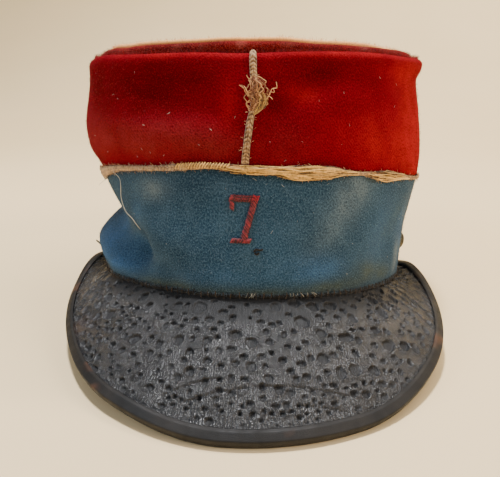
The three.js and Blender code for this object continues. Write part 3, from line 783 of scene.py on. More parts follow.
def make_top():
    """The flat top, with a soft dimple and a few long ripples."""
    angle = round_cap(240)
    middle = (top_point(0.0, 0, 0) + top_point(180.0, 0, 0)) / 2
    shares = np.linspace(1, 0.01, 60)
    edge = top_point(angle, TOP_INSET, 0)
    above = middle + (edge - middle) * shares[:, None]
    ripple = 0.5 * noise(above, 26.0) + 0.12 * noise(above, 7.0, 2) - 0.9 * (1 - shares**2)[None]
    above[..., 2] += ripple * smoothstep(shares, 1.0, 0.93) - TOP_SINK
    below = above[:, ::-4] + [0, 0, 0.2 - CLOTH]
    points = np.concatenate([above, below], 1)
    tints = {
        "pale": patches(points, 26.0, 0.9, 0.15, 0.5),
        "deep": patches(points + 90, 22.0, 1.4, 0.1, 0.7),
        "orange": patches(points - 90, 34.0, 1.2, 0.2, 0.4)}
    add_grid("crown_top_felt", points, RED_FELT, "red_cloth", None, None, rows_close=True,
             values=tints, stands_for=["crown_top"])


def roll_point(angle, turn, radius, away=0.0, fuller=1.0):
    """Points round the piping, or round a braid whose centre is `away` from the piping's."""
    inset, rise, toward = read_all(TOP_ROLL, "inset rise braid_turn", angle)
    inset = inset + away * np.cos(np.radians(toward)) - radius * np.cos(turn)
    rise = rise + away * np.sin(np.radians(toward)) + radius * fuller * np.sin(turn)
    return top_point(np.broadcast_to(angle, inset.shape), inset, rise)


def make_piping():
    """A roll of felt round the top edge, a little uneven and fuller underneath."""
    angle, turn = round_cap(560), full_turn(20)
    radius = PIPING_RADIUS + 0.14 * noise(roll_point(angle, 0, 0), 7.0, 2)
    fuller = np.where(np.sin(turn) < 0, 1.22, 1.0)
    points = roll_point(angle, turn, radius, fuller=fuller)
    along = np.radians(angle[:, 0]) * FOLD_RADIUS
    values = {"orange": patches(points, 11.0, 2.4, 0.35, 1), "pale": patches(points + 50, 8.0, 2.0, 0.7, 0.6)}
    add_grid("piping_felt", points, PIPING_FELT, "maroon_piping", along, turn * 2.2, rows_close=True,
             values=values, stands_for=["top_piping"])


# ---- Braid ----


def braid_section(steps=13):
    """Places across a braid, from -1 to 1, and its height there, top side then underside."""
    across = np.linspace(-1, 1, steps)
    top = (1 - np.abs(across) ** 2.6) ** 0.5
    under = np.linspace(1, -1, 5)[1:-1]
    return np.concatenate([across, under]), np.concatenate([top, np.zeros(3)])


def plait(along, across, pitch=1.6):
    """The relief of a flat plait, from 0 to 1: rows of slanting stitches that meet at its middle."""
    slant = (along / pitch + 0.8 * np.abs(across)) % 1
    rows = 1 - np.abs(2 * slant - 1) ** 1.6
    lanes = 1 - 0.8 * np.exp(-((across / 0.14) ** 2)) - 0.6 * np.exp(-(((np.abs(across) - 0.62) / 0.1) ** 2))
    return rows * np.maximum(lanes, 0)


# How the seam braid is worn along its length: its width, how far it hangs below the seam, how much is
# bare golden strands, and how much of its thickness is left.
BRAID_WEAR = table(
    "angle width drop gold body",
    (-180, 3.3, 0.0, 0.0, 1.0),
    (-90, 3.6, 0.4, 0.0, 1.0),
    (-66, 4.6, 1.6, 0.0, 1.0),
    (-58, 5.2, 2.2, 0.0, 1.0),
    (-52, 4.2, 1.4, 0.0, 1.0),
    (-39, 2.4, 0.0, 0.0, 0.9),
    (-26, 2.0, -0.2, 0.0, 0.9),
    (-16, 2.6, -0.1, 0.1, 0.9),
    (-8, 2.2, -0.2, 0.3, 0.8),
    (-1, 3.3, 0.0, 0.9, 0.6),
    (6, 3.1, -0.1, 1.0, 0.5),
    (13, 5.2, 0.4, 1.0, 0.5),
    (21, 4.5, 0.2, 1.0, 0.5),
    (27, 2.2, 0.3, 0.9, 0.5),
    (32, 1.6, 0.3, 0.2, 0.5),
    (36, 3.0, 0.8, 0.9, 0.5),
    (42, 4.0, 0.8, 1.0, 0.6),
    (51, 2.0, 0.6, 0.8, 0.6),
    (60, 1.7, 0.5, 0.2, 0.6),
    (100, 2.8, 0.0, 0.0, 1.0),
    (180, 3.3, 0.0, 0.0, 1.0),
)
BRAID_HEIGHT = 1.35
UPRIGHT_ENDS = (1.045, 1.983)
UPRIGHT_WIDTH = 2.4
UPRIGHT_HEIGHT = 0.75


def make_seam_braid():
    """The plaited braid over the seam between band and crown, ragged at its edges."""
    angle = round_cap(2300)
    across, height = braid_section()
    width, drop, gold, body = read_all(BRAID_WEAR, "width drop gold body", angle)
    along = np.radians(angle) * FOLD_RADIUS
    ragged = noise(wall(angle, SEAM_LEVEL + 0.05 * np.sign(across)), 1.3, 2)
    width = width * (1 + 0.16 * ragged)
    level = SEAM_LEVEL + (across * width / 2 - drop) / LEVEL_HEIGHT
    woven = 0.5 * plait(along, across) * (1 - gold) * (height > 0)
    wander = 0.12 * noise(wall(angle, level), 5.0, 2)
    rise = GAP + height * (BRAID_HEIGHT * body + wander) + woven * np.minimum(height * 2, 1) - 0.2
    points = wall(angle, level, np.maximum(rise, GAP))
    lit = 0.32 + 1.3 * woven - 0.05 * gold + 0.45 * noise(points, 1.5) + 0.2 * noise(points, 6.0)
    values = {"gold": np.broadcast_to(gold, level.shape) * 0.9, "tone": np.clip(lit, 0, 1)}
    add_grid("seam_braid_plait", points, STRAW, "straw_braid", along[:, 0], across * 2, rows_close=True,
             values=values, stands_for=["seam_braid"])


def make_seam_strands():
    """Loose golden strands where the seam braid has lost its plaiting, and its last twisted loops."""
    random = np.random.default_rng(5)
    routes, tones, sizes = [], [], []
    for start, end, count in ((-6, 31, 46), (33, 55, 20)):
        for _ in range(count):
            low = random.uniform(start, start + 0.45 * (end - start))
            high = random.uniform(end - 0.45 * (end - start), end)
            angle = np.linspace(low, high, int((high - low) * 7))
            width, drop = read_all(BRAID_WEAR, "width drop", angle)
            phase = random.uniform(0, 100, 3)
            sway = noise(np.stack([angle * 1.1 + phase[0], 0 * angle + phase[1], 0 * angle], -1), 7.0, 2)
            lane = np.clip(random.uniform(-0.95, 0.95) + 0.6 * sway, -1.1, 1.1)
            level = SEAM_LEVEL + (lane * width * 0.5 - drop) / LEVEL_HEIGHT
            bob = noise(np.stack([angle + phase[2], 0 * angle, 0 * angle], -1), 4.0)
            layer = random.uniform(0.0, 0.55)
            rise = GAP + 0.35 + layer + 0.6 * np.sqrt(np.clip(1 - (lane / 1.25) ** 2, 0, 1)) + 0.2 * bob
            routes.append(wall(angle, level, rise))
            # Strands higher in the tangle are lighter: painted shade on the lower ones, with uneven tone.
            tones.append(np.clip(random.normal(0.1 + 1.2 * layer, 0.28), -0.2, 1.1))
            sizes.append(random.uniform(0.17, 0.26))
    t = np.linspace(0, 1, 9)
    for middle in np.arange(-17, -3, 0.75):
        slant = random.uniform(0.9, 1.3)
        lean = middle + slant * (t - 0.5)
        level = SEAM_LEVEL + (random.uniform(2.2, 2.8) * (t - 0.5) + 0.5) / LEVEL_HEIGHT
        routes.append(wall(lean, level, GAP + 0.8 + 0.7 * np.sin(math.pi * t)))
        tones.append(random.uniform(0.6, 1.0))
        sizes.append(0.24)
    add_strands("seam_braid_strands", routes, sizes, tones, GOLD, "straw_braid")


def make_braid_fuzz():
    """Broken fibres that stand off the braids, and the wool of the worn stretch at the left."""
    random = np.random.default_rng(6)
    routes, t = [], np.linspace(0, 1, 5)
    for _ in range(520):
        angle = random.uniform(-180, 180)
        edge = random.choice([-1, 1])
        width, drop = read_all(BRAID_WEAR, "width drop", angle)
        reach = random.uniform(0.5, 1.8)
        x = reach * random.normal(0, 0.6) * t + random.normal(0, 0.3) * t**2
        y = edge * width / 2 - drop + edge * reach * random.uniform(0.1, 0.9) * t
        routes.append(beside(angle, SEAM_LEVEL, x, y, GAP + 0.5 + random.uniform(0, 0.8) * t))
    for _ in range(70):
        level, edge = random.uniform(1.06, 1.97), random.choice([-1, 1])
        seam = random.choice([0, 90, 180, -90])
        reach = random.uniform(0.4, 1.3)
        x = edge * (1.2 + reach * t)
        y = random.normal(0, 0.5) * t
        routes.append(beside(seam_angle(seam, level), level, x, y, 0.7 + 0.3 * t))
    tones = random.uniform(0, 0.8, len(routes))
    add_strands("braid_fuzz", routes, 0.055, tones, CREAM, "straw_braid", sides=3)
    worn = []
    for _ in range(900):
        angle, side = random.uniform(-72, -14), random.uniform(-1.1, 1.1)
        width, drop = read_all(BRAID_WEAR, "width drop", angle)
        x = random.uniform(-1.6, 1.6) * t
        y = side * width / 2 - drop + random.normal(0, 0.35) * t + random.normal(0, 0.5) * t**2
        rise = GAP + 1.0 - 0.5 * side**2 + 0.35 * np.sin(math.pi * t)
        worn.append(beside(angle, SEAM_LEVEL, x, y, rise))
    tones = random.uniform(0, 1, len(worn))
    add_strands("braid_wool", worn, 0.06, tones, GREY, "straw_braid", sides=3)


def make_upright(place, seam):
    """A narrow plaited braid over one of the crown's upright seams."""
    level = np.linspace(*UPRIGHT_ENDS, 260)[:, None]
    across, height = braid_section()
    middle = seam_angle(seam, level)
    along = level * LEVEL_HEIGHT
    width = UPRIGHT_WIDTH + 0.3 * noise(wall(middle, level), 4.0)
    angle = middle + np.degrees(across * width / 2 / FOLD_RADIUS)
    woven = 0.5 * plait(along, across, 1.5) * np.minimum(height * 2, 1)
    rise = GAP + height * UPRIGHT_HEIGHT + woven * (height > 0)
    level = np.broadcast_to(level, angle.shape)
    out = wall_normal(np.broadcast_to(middle, angle.shape), level)
    points = wall(angle, level) + out * rise[..., None]
    lit = 1.3 * woven + 0.1 + 0.35 * noise(points, 1.0) + 0.15 * noise(points, 5.0)
    values = {"gold": np.clip(0.35 * noise(points, 6.0), 0, 1), "tone": np.clip(lit, 0, 1)}
    add_grid(f"braid_plait_{place}", points, STRAW, "straw_braid", along[:, 0], across * 1.5, capped=True,
             values=values, stands_for=[f"braid_{place}"])


def make_top_braid():
    """The thin ochre braid that shows over the piping."""
    angle, turn = round_cap(1500), full_turn(10)
    along = np.radians(angle) * 80
    twist = 0.14 * np.abs(np.sin(along * math.pi / 1.3 + turn / 2))
    radius = TOP_BRAID_RADIUS + twist + 0.08 * noise(top_point(angle, 5, 3), 3.0)
    points = roll_point(angle, turn, radius, TOP_BRAID_AWAY)
    # Lighter on the twist's raised turns: painted highlight, with uneven tone.
    tone = np.clip(0.8 + 2 * twist + 0.2 * noise(points, 5.0), 0, 1)
    add_grid("top_braid_twist", points, BRIGHT, "straw_braid", along[:, 0], turn, rows_close=True,
             values={"tone": tone}, stands_for=["top_braid"])


# Loose ends of the front braid, from where each leaves it: how far it reaches sideways and up, in
# millimetres, and how much it curls.
LOOSE_ENDS = table(
    "level aside reach up curl",
    (1.58, -1.6, -2.4, 4.8, 0.3),
    (1.60, -1.7, -1.6, 3.4, 0.2),
    (1.62, -1.5, -3.0, 2.6, 0.3),
    (1.66, -1.2, -1.5, 5.2, 0.3),
    (1.60, 4.4, 3.4, 4.6, 0.7),
    (1.60, 4.2, 2.6, 2.4, 0.6),
    (1.58, 4.0, 1.8, 0.6, 0.8),
)


def make_frayed_knot():
    """Where the front braid has come apart: a tangle of curly strands that bulges to the right."""
    random = np.random.default_rng(8)
    t = np.linspace(0, 1, 46)

    def strand(start, end, left, right, lift, curl):
        level = start + (end - start) * t
        share = random.uniform(0, 1)
        phase = random.uniform(0, 50)
        wave = noise(np.stack([t * 30 + phase, 0 * t + phase, 0 * t], -1), 4.0, 2)
        swell = np.sin(math.pi * t) ** 0.75
        aside = (left + (right - left) * share) * swell + curl * wave * swell + random.uniform(-0.8, 0.8)
        rise = 0.9 + lift * random.uniform(0.3, 1) * swell
        return beside(seam_angle(0, level), level, aside, 0, rise)

    tangle = [strand(1.77, 1.48, -2.0, 4.2, 1.8, 2.6) for _ in range(22)]
    bundle = [strand(1.66, 1.46, 1.6, 4.2, 1.6, 0.3) for _ in range(12)]
    ends = []
    for level, aside, reach, up, curl in zip(*LOOSE_ENDS.values()):
        sideways = aside + reach * t**0.9 + curl * np.sin(9 * t + level * 40) * t
        upward = up * t + curl * np.cos(10 * t + level * 60) * t
        rise = 1.2 + 1.4 * np.sin(math.pi * t * 0.6)
        ends.append(beside(seam_angle(0, level), level, sideways, upward, rise))
    add_strands("frayed_tangle", tangle, 0.16, random.uniform(-0.2, 0.8, 22), PINK, "straw_braid")
    add_strands("frayed_bundle", bundle, 0.22, random.uniform(0.0, 0.7, 12), GOLD, "straw_braid")
    add_strands("frayed_ends", ends, 0.14, random.uniform(0.5, 1, len(ends)), PINK, "straw_braid")


# ---- Peak ----

PEAK_COLUMNS = 600
PEAK_ROWS = 140
UNDER_ROWS = 24
PEAK_LENGTH = 58
# How far a pit reaches over the grid.
PIT_COLUMNS = 22
PIT_ROWS = 26


def peak_share_inside(angle, distance):
    """The share at a distance in millimetres inside the peak's outer edge."""
    return 1 - distance / peak_frame(angle)[2]


def binding_share(angle):
    """The share where the binding's inner edge lies, which draws in where the peak narrows."""
    to_band = peak_point(angle, 1, 0) - wall(angle, 0.06)
    room = np.hypot(to_band[..., 0], to_band[..., 1]) - 1.2
    return peak_share_inside(angle, np.minimum(BINDING_DEPTH, room))


def scatter_pits(random):
    """Places, sizes and depths of the leather's pits: angle, share, across, outward and depth."""
    pits = []
    for _ in range(7000):
        angle, share = random.uniform(-84, 84), random.uniform(0.05, 0.95)
        side = smoothstep(abs(angle), 30, 62)
        front = smoothstep(share, 0.66, 0.78) * (1 - smoothstep(abs(angle), 30, 45))
        size = random.uniform(1.8, 2.6) if random.uniform() < 0.4 else random.uniform(1.1, 1.7)
        size = size * (1 - 0.38 * front) * (1 - 0.3 * smoothstep(-angle, 30, 60))
        outward = size * (random.uniform(0.8, 1.15) + side * 0.55)
        across = size * (random.uniform(0.85, 1.3) - side * 0.3)
        place = peak_point(angle, share, PEAK_THICKNESS / 2)
        room = 1.15 + random.uniform(0, 0.5)
        if all(np.sum((place - other[0]) ** 2) > (room * (size + other[1])) ** 2 for other in pits):
            depth = random.uniform(0.6, 1.0) * (1 - 0.45 * smoothstep(-angle, 35, 65))
            pits.append((place, size, angle, share, across, outward, depth))
    return pits


def press_pits(points, angles, shares, height, pit_mask):
    """Presses the pits into a height map over the peak's grid."""
    step_angle, step_share = angles[1] - angles[0], shares[1] - shares[0]
    for place, _, angle, share, across, outward, depth in scatter_pits(np.random.default_rng(3)):
        column = int((angle - angles[0]) / step_angle)
        row = int((share - shares[0]) / step_share)
        near_columns = slice(max(column - PIT_COLUMNS, 0), column + PIT_COLUMNS + 1)
        near_rows = slice(max(row - PIT_ROWS, 0), row + PIT_ROWS + 1)
        near = points[near_columns, near_rows]
        turned = math.radians(angle)
        aside = np.array([math.cos(turned), math.sin(turned), 0])
        sideways = (near - place) @ aside
        forward = np.linalg.norm(near - place - sideways[..., None] * aside, axis=-1)
        radius = np.hypot(sideways / across, forward / outward) * (1 + 0.2 * noise(near, 1.6))
        inside = 1 - smoothstep(radius, 0.72, 1.0)
        rim = np.exp(-(((radius - 1.13) / 0.14) ** 2))
        height[near_columns, near_rows] += depth * (0.5 * rim - inside)
        pit_mask[near_columns, near_rows] = np.maximum(pit_mask[near_columns, near_rows], inside)


# Lines pressed into the front of the leather, between two places on it, bowed by `bow` at the middle.
PRESSED_LINES = table(
    "angle_a share_a angle_b share_b bow width depth",
    (-12, 0.85, -2, 0.64, -0.04, 0.5, 0.5),
    (-8, 0.84, 3, 0.69, -0.03, 0.5, 0.5),
    (3, 0.69, 21, 0.83, -0.05, 0.5, 0.45),
    (10, 0.81, 21, 0.94, -0.02, 0.5, 0.4),
    (21, 0.50, 29, 0.80, 0.0, 0.5, 0.4),
    (-30, 0.94, -10, 0.92, 0.0, 0.4, 0.3),
)


def press_lines(angle, share, height):
    """Presses the long lines into a height map."""
    for a0, s0, a1, s1, bow, width, depth in zip(*PRESSED_LINES.values()):
        t = (angle - a0) / (a1 - a0)
        middle = s0 + (s1 - s0) * t + bow * 4 * t * (1 - t)
        length = read(PEAK_EDGE, "reach", angle, "angle") + 16
        across = (share - middle) * length
        inside = smoothstep(t, -0.02, 0.08) * (1 - smoothstep(t, 0.92, 1.02))
        height -= 1.4 * depth * inside * np.exp(-((across / width) ** 2))


def make_peak():
    """The pitted leather peak, plain underneath."""
    angles = np.linspace(-PEAK_END, PEAK_END, PEAK_COLUMNS)
    shares = np.linspace(0, 1, PEAK_ROWS)
    angle, share = np.meshgrid(angles, shares, indexing="ij")
    laps = binding_share(angles)[:, None]
    reach = peak_share_inside(angles, GAP)[:, None]
    half = PEAK_THICKNESS / 2
    upper = peak_point(angle, share * reach, half)
    height, pit_and_band_shadow = np.zeros(angle.shape), np.zeros(angle.shape)
    press_pits(upper, angles, shares, height, pit_and_band_shadow)
    press_lines(angle, share, height)
    side = smoothstep(np.abs(angle), 25, 60)
    grain = noise(upper, 1.6, 2) * (1 - side) + noise(upper, 2.2, 2) * side
    height += 0.13 * grain + 0.2 * noise(upper, 7.0)
    clear = smoothstep(share * reach, laps + 0.01, laps - 0.05) * smoothstep(share, 0.0, 0.04)
    height = height * clear - 0.15 + 0.1 * (1 - clear)
    upper = peak_point(angle, share * reach, half + height)
    lower = peak_point(angles[:, None], np.linspace(1, 0, UNDER_ROWS) * reach, -half)
    points = np.concatenate([upper, lower], 1)
    plain = np.zeros((PEAK_COLUMNS, UNDER_ROWS))
    around = np.concatenate([shares * PEAK_LENGTH, PEAK_LENGTH + np.linspace(1, PEAK_LENGTH, UNDER_ROWS)])
    # Next to the band, away from the sides, the leather is painted dark as the band's shadow, through the
    # same mask as the pits.
    pit_and_band_shadow = np.maximum(pit_and_band_shadow * 0.8, 0.75 * (1 - smoothstep(share, 0.16, 0.30)) * (1 - side))
    rust = patches(upper, 14.0, 1.6, 0.2, 0.5, 3) * side * smoothstep(share, 0.5, 0.9)
    values = {"pit_and_band_shadow": np.concatenate([pit_and_band_shadow, plain], 1), "rust": np.concatenate([rust, plain], 1)}
    add_grid("peak_leather", points, PEAK_LEATHER, "peak_leather", lengths_along(upper[:, 100]), around,
             capped=True, values=values, stands_for=["peak"])


def make_binding():
    """The smooth leather folded over the peak's edge, rounded by wear."""
    angles = np.linspace(-PEAK_END, PEAK_END, 620)[:, None]
    laps = binding_share(angles)
    inner, outer = PEAK_THICKNESS / 2 + GAP, PEAK_THICKNESS / 2 + GAP + BINDING_WALL
    lap, flat = np.linspace(0, 1, 12), np.zeros(12)
    fold = np.linspace(math.pi / 2, -math.pi / 2, 15)[1:-1]
    thin = 0.35 + 0.65 * smoothstep(lap, 0, 0.35)
    share = np.concatenate([lap, np.ones(len(fold)), lap[::-1], lap, lap[::-1]])
    height = np.concatenate([
        inner + (outer - inner) * thin, outer * np.sin(fold), flat - outer, flat - inner, flat + inner])
    beyond = np.concatenate([flat, BINDING_LIP * np.cos(fold), flat, flat, flat])
    points = peak_point(angles, laps + (1 - laps) * share, height, beyond)
    dents = 0.1 * noise(points, 6.0, 3)
    points = points + dents[..., None] * np.array([0, 0, -1.0])
    around = np.arange(points.shape[1]) * 0.5
    rust = patches(points, 9.0, 2.4, 0.8, 0.8, 3)
    values = {"pit_and_band_shadow": 0 * rust, "rust": rust}
    add_grid("peak_binding_leather", points, BINDING_LEATHER, "binding_leather",
             lengths_along(points[:, 14]), around, capped=True, values=values, stands_for=["peak_binding"])


def make_rim_stitches():
    """Waxed stitches and a dark welt that join the peak to the band; the welt is black as painted shadow in
    the gap under the band.
    """
    angle = np.linspace(-84, 84, 500)
    uneven = 0.12 * noise(wall(angle, 0 * angle), 5.0, 2)[:, None]
    # The welt's black is painted shadow in the gap under the band as well as the welt's own dark.
    welts = [wall(angle, 0 * angle, inset) + [0, 0, -0.5] + uneven for inset in (-0.5, -1.6)]
    add_strands("rim_welt_and_gap_shadow", welts, 0.85, [0.2, 0], BLACK, "binding_leather", sides=8)
    random = np.random.default_rng(12)
    routes = []
    t = np.linspace(0, 1, 7)
    for middle in np.arange(-76, 78, 2.1):
        along = middle + random.uniform(-0.4, 0.4) * t
        level = 0.03 * (1 - t) + random.uniform(-0.01, 0.01)
        bulge = 0.3 + 0.9 * np.sin(math.pi * t) * random.uniform(0.5, 1)
        route = wall(along, np.maximum(level, 0), bulge)
        route[:, 2] -= 1.7 * t
        routes.append(route)
    tones = random.uniform(0, 0.5, len(routes))
    add_strands("rim_stitches", routes, 0.2, tones, BROWN, "binding_leather")
    pale = []
    for first, last, count in ((13, 20, 7), (1, 6, 5), (-66, -60, 3)):
        for middle in random.uniform(first, last, count):
            lean, bow = random.uniform(-1.8, 1.8), random.uniform(0.3, 1.0)
            route = wall(middle + lean * t, 0.03 * (1 - t), 0.5 + bow * np.sin(math.pi * t))
            route[:, 2] -= random.uniform(0.2, 1.0) * t
            pale.append(route)
    tones = random.uniform(-0.4, 0.3, len(pale))
    add_strands("pale_rim_threads", pale, 0.1, tones, WHITE, "binding_leather")


# ---- Small pieces ----

NUMERAL_HEIGHT = 17.2
NUMERAL_LEVEL = 0.625
FRONT_RADIUS = 96
# The strokes of the figure seven, in shares of its height: the ends of each and half its width.
STROKES = table(
    "x0 y0 x1 y1 half lean",
    (0.01, 0.925, 0.64, 0.925, 0.070, 0.03),
    (0.055, 0.86, 0.055, 0.70, 0.055, 0.03),
    (0.575, 0.95, 0.34, 0.09, 0.075, 0.05),
    (0.07, 0.055, 0.50, 0.055, 0.055, 0.03),
)


def make_numeral():
    """The figure seven in satin stitch: a rounded rib of thread after thread across each stroke."""
    random = np.random.default_rng(21)
    routes, tones, bright = [], [], []
    t = np.linspace(-1, 1, 9)
    for x0, y0, x1, y1, half, lean in zip(*STROKES.values()):
        start, end = np.array([x0, y0]), np.array([x1, y1])
        along = unit(end - start)
        across = np.array([-along[1], along[0]])
        count = int(np.linalg.norm(end - start) * NUMERAL_HEIGHT / 0.27)
        for step in np.linspace(0, 1, count):
            ragged = half * random.uniform(0.88, 1.12)
            spine = start + (end - start) * step + across * ragged * t[:, None]
            spine = spine + along * (lean * t)[:, None]
            x = (spine[:, 0] - 0.33) * NUMERAL_HEIGHT + 0.6
            y = (spine[:, 1] - 0.5) * NUMERAL_HEIGHT
            rise = 0.15 + 0.75 * np.sqrt(np.clip(1 - t**2, 0, 1)) + random.uniform(-0.05, 0.08)
            routes.append(wall(np.degrees(x / FRONT_RADIUS), NUMERAL_LEVEL + y / (LEVEL_HEIGHT + 2), rise))
            tones.append(random.uniform(-0.1, 0.8))
            bright.append(smoothstep(spine[4].sum(), 1.36, 1.5))
    add_strands("numeral_stitches", routes, 0.19, tones, NUMERAL_RED, "red_thread", sides=4, golds=bright,
                stands_for=["numeral"])


BUTTON_LEVEL = 0.28
BUTTON_STAND_OFF = 0.5
BUTTON_PROFILE = table(
    "radius height",
    (0, 0), (4.6, 0), (5.2, 0.15), (5.45, 0.6), (5.4, 1.05), (5.0, 1.25), (4.75, 1.15),
    (4.6, 1.3), (4.2, 2.05), (3.4, 2.75), (2.3, 3.25), (1.1, 3.52), (0, 3.58),
)


def make_button(place, angle):
    """A domed brass button with a rolled rim."""
    normal = wall_normal(np.array(float(angle)), np.array(BUTTON_LEVEL))
    base = wall(float(angle), BUTTON_LEVEL) + normal * (GAP + BUTTON_STAND_OFF)
    side = unit(np.cross(normal, [0, 0, 1.0]))
    up = np.cross(side, normal)
    radius, height = BUTTON_PROFILE["radius"], BUTTON_PROFILE["height"]
    turn = full_turn(64)[:, None]
    points = base + normal * height[:, None] + (
        side * (np.cos(turn) * radius)[..., None] + up * (np.sin(turn) * radius)[..., None])
    add_grid(f"button_dome_{place}", points, BRASS, "aged_brass", turn[:, 0] * 5, height, rows_close=True,
             columns_close=False, stands_for=[f"button_{place}"])


def curve_through(places, steps=60):
    """A smooth route through places on the cloth: rows of angle, level and offset."""
    places = np.array(places, float)
    knots = np.linspace(0, 1, len(places))
    t = np.linspace(0, 1, steps)
    rows = {"t": knots, "a": places[:, 0], "l": places[:, 1], "o": places[:, 2]}
    return wall(*(read(rows, column, t, "t") for column in "alo"))


def make_loose_threads():
    """The pale thread that hangs down the left of the band, and small threads that stick out."""
    hanging = curve_through([
        (-44.5, 0.97, 1.5), (-41.5, 0.92, 1.2), (-38.5, 0.86, 3.0), (-39, 0.76, 3.0), (-37, 0.64, 3.0),
        (-33, 0.57, 2.8), (-31.5, 0.49, 1.5)])
    second = curve_through([(-49, 0.93, 1.6), (-52, 0.88, 3.0), (-56, 0.84, 5.0)], 30)
    add_strands("hanging_thread", [hanging, second], [0.12, 0.07], [0.9, 0.4], WHITE, "straw_braid")
    sprig = curve_through([(-70, 0.10, 0.4), (-76, 0.14, 3.0), (-79, 0.20, 6.5)], 16)
    speck = curve_through([(2.9, 0.375, 0.3), (3.6, 0.398, 0.5), (4.6, 0.392, 0.5), (5.3, 0.40, 0.3)], 16)
    lump = curve_through([(3.1, 0.37, 0.3), (3.7, 0.358, 0.5), (4.4, 0.372, 0.4)], 12)
    add_strands("black_threads", [sprig, speck, lump], [0.42, 0.42, 0.4], [0.3, 0, 0], BLACK, "blue_cloth")


# Specks of lint that stand out: where, and how long.
LINT = table(
    "angle level reach",
    (-18, 1.48, 1.6), (-25, 1.38, 1.0), (-7, 1.34, 1.2), (-44, 1.16, 1.6), (-30, 1.12, 0.9),
    (7, 0.52, 1.8), (21, 0.90, 1.4), (31, 0.18, 1.2), (53, 0.24, 1.2), (2, 0.93, 2.2), (9, 0.90, 2.0),
)


def make_lint():
    """Specks of lint and short pale hairs caught in the felt."""
    random = np.random.default_rng(33)
    count = 110
    angles = np.concatenate([LINT["angle"], random.uniform(-180, 180, count)])
    levels = np.concatenate([LINT["level"], random.uniform(0.08, 1.9, count)])
    reaches = np.concatenate([0.7 * LINT["reach"], random.uniform(0.3, 1.0, count)])
    sizes = np.concatenate([np.full(len(LINT["reach"]), 0.08), random.uniform(0.03, 0.06, count)])
    routes, t = [], np.linspace(0, 1, 6)
    for angle, level, reach in zip(angles, levels, reaches):
        heading, bend = random.uniform(0, 2 * math.pi), random.uniform(-0.8, 0.8)
        x = reach * (t * math.cos(heading) + bend * t**2 * math.sin(heading))
        y = reach * (t * math.sin(heading) - bend * t**2 * math.cos(heading))
        routes.append(beside(angle, level, x, y, 0.25 + 0.3 * t))
    tones = random.uniform(0, 0.8, len(routes))
    add_strands("lint", routes, sizes, tones, WHITE, "blue_cloth", sides=3)


def make_nap():
    """Fibres that stand off the felt and soften its outline."""
    random = np.random.default_rng(40)
    for name, low, high, count, material, slot in (
            ("band_nap", 0.02, 0.98, 15000, BLUE_NAP, "blue_cloth"),
            ("crown_nap", 1.03, 1.99, 17000, RED_NAP, "red_cloth")):
        angle, level = random.uniform(-180, 180, count), random.uniform(low, high, count)
        roots = wall(angle, level, -0.1)
        out = wall_normal(angle, level)
        down = unit(wall(angle, np.maximum(level - 0.02, 0)) - wall(angle, level + 0.001))
        add_nap(name, roots, out, down, 1.3, material, slot, 41)
    for name, away, radius, low, high, count, length, material, slot in (
            ("piping_nap", 0, PIPING_RADIUS, -60, 50, 6000, 1.3, PIPING_NAP, "maroon_piping"),
            ("top_braid_nap", TOP_BRAID_AWAY, TOP_BRAID_RADIUS, -20, 200, 5000, 1.6, BRIGHT, "straw_braid")):
        angle, turn = random.uniform(-180, 180, count), np.radians(random.uniform(low, high, count))
        roots = roll_point(angle, turn, radius, away)
        out = unit(roots - roll_point(angle, 0, 0, away))
        add_nap(name, roots, out, out + [0, 0, 0.4], length, material, slot, 42)
    angle = random.uniform(-92, 92, 2600)
    roots = wall(angle, random.uniform(0, 0.02, 2600), random.uniform(-0.3, 0.1, 2600))
    up = np.broadcast_to([0.0, 0.0, 1.0], roots.shape)
    add_nap("rim_nap", roots, wall_normal(angle, 0 * angle + 0.01), -up, 1.6, BLUE_NAP, "blue_cloth", 44)
    angle = random.uniform(-180, 180, 7000)
    roots = wall(angle, 1.99, random.uniform(-1.6, 0.1, 7000))
    up = np.broadcast_to([0.0, 0.0, 1.0], roots.shape)
    add_nap("lip_nap", roots, up, up, 2.0, RED_NAP, "red_cloth", 43)


# ---- Stage ----


def make_floor():
    """A seamless pale floor that curves up into a backdrop."""
    bend, depth, wide = 1.8, 0.5, 4.0
    turn = np.linspace(0, math.pi / 2, 24)
    profile = [(-3.0, 0.0), (depth, 0.0)]
    profile += [(depth + bend * math.sin(a), bend * (1 - math.cos(a))) for a in turn[1:]]
    profile.append((depth + bend, 4.0))
    points = [(x, y, z) for y, z in profile for x in (-wide, wide)]
    faces = [(2 * i, 2 * i + 1, 2 * i + 3, 2 * i + 2) for i in range(len(profile) - 1)]
    mesh = bpy.data.meshes.new("floor")
    mesh.from_pydata(points, [], faces)
    mesh.polygons.foreach_set("use_smooth", [True] * len(mesh.polygons))
    mesh.materials.append(matte("floor_paint", srgb(238, 211, 162), srgb(243, 217, 170)))
    floor = bpy.data.objects.new("floor", mesh)
    bpy.context.collection.objects.link(floor)


def add_light(name, place, target, size, power, color):
    """A rectangular lamp that points at its target."""
    light = bpy.data.lights.new(name, "AREA")
    light.shape = "RECTANGLE"
    light.size, light.size_y = size
    light.energy = power
    light.color = color
    lamp = bpy.data.objects.new(name, light)
    lamp.location = place
    aim = Vector(target) - Vector(place)
    lamp.rotation_euler = aim.to_track_quat("-Z", "Y").to_euler()
    bpy.context.collection.objects.link(lamp)


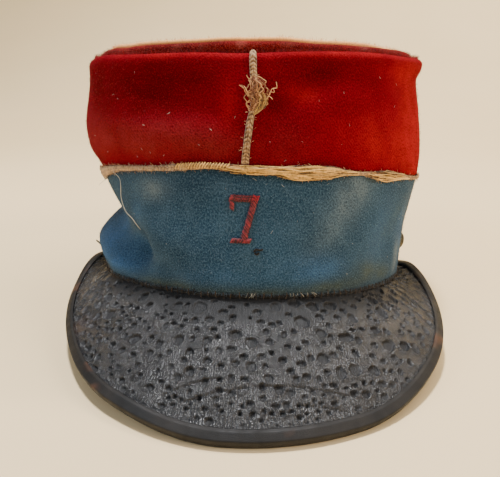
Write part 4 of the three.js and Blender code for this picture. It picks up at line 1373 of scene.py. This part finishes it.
def make_lights():
    """The dim room, a small window above, two soft lamps in front and the glow on the backdrop."""
    world = bpy.data.worlds.new("room")
    world.use_nodes = True
    world.node_tree.nodes["Background"].inputs[0].default_value = (0.9, 0.95, 1.0, 1)
    world.node_tree.nodes["Background"].inputs[1].default_value = 0.3
    bpy.context.scene.world = world
    centre = (0, 0, 0.07)
    add_light("window_above", (-0.11, 0.13, 1.5), centre, (0.16, 0.16), 34, (0.97, 0.98, 1.0))
    add_light("warm_right", (1.3, -0.5, 0.9), centre, (0.8, 0.8), 19, (1.0, 0.84, 0.68))
    add_light("cool_left", (-1.2, -0.7, 0.9), centre, (0.8, 0.8), 9, (0.88, 0.94, 1.0))
    add_light("backdrop_glow", (1.15, 0.8, 2.3), (1.25, 2.2, 1.0), (1.8, 0.6), 78, (1.0, 0.94, 0.84))


# The camera in the cap's own frame: its place in millimetres, and where it looks, in degrees.
CAMERA_PLACE = (15.6, -276.9, 42.8)
CAMERA_PITCH = -6.56
CAMERA_YAW = -3.97
CAMERA_ROLL = 1.02
CAMERA_LENS = 35.28


def make_camera():
    """The camera, placed in the cap's own frame and tipped back with it."""
    data = bpy.data.cameras.new("camera")
    data.lens = CAMERA_LENS
    data.sensor_width = 36.0
    data.clip_start = 0.01
    camera = bpy.data.objects.new("camera", data)
    place = tipped(np.array(CAMERA_PLACE), REST_TILT)
    place[:2] += REST_SHIFT
    place[2] -= REST_DROP
    camera.location = place / 1000
    pitch, yaw, roll = (math.radians(v) for v in (CAMERA_PITCH, CAMERA_YAW, CAMERA_ROLL))
    ahead = np.array([math.sin(yaw) * math.cos(pitch), math.cos(yaw) * math.cos(pitch), math.sin(pitch)])
    right = np.array([math.cos(yaw), -math.sin(yaw), 0.0])
    up = np.cross(right, ahead)
    right, up = (right * math.cos(roll) + up * math.sin(roll), up * math.cos(roll) - right * math.sin(roll))
    columns = [tipped(v, REST_TILT) for v in (right, up, -ahead)]
    camera.rotation_mode = "QUATERNION"
    camera.rotation_quaternion = Matrix(np.array(columns).T.tolist()).to_quaternion()
    bpy.context.collection.objects.link(camera)
    bpy.context.scene.camera = camera


make_camera()
make_floor()
make_lights()
make_band()
for corner, first in {"back_left": -180, "front_left": -90, "front_right": 0, "back_right": 90}.items():
    make_quarter(corner, first)
make_top()
make_piping()
make_seam_braid()
make_seam_strands()
make_braid_fuzz()
for corner, first in {"front": 0, "right": 90, "back": 180, "left": -90}.items():
    make_upright(corner, first)
make_top_braid()
make_frayed_knot()
make_peak()
make_binding()
make_rim_stitches()
make_numeral()
make_button("right", 87)
make_button("left", -87)
make_loose_threads()
make_lint()
make_nap()

bpy.context.view_layer.update()
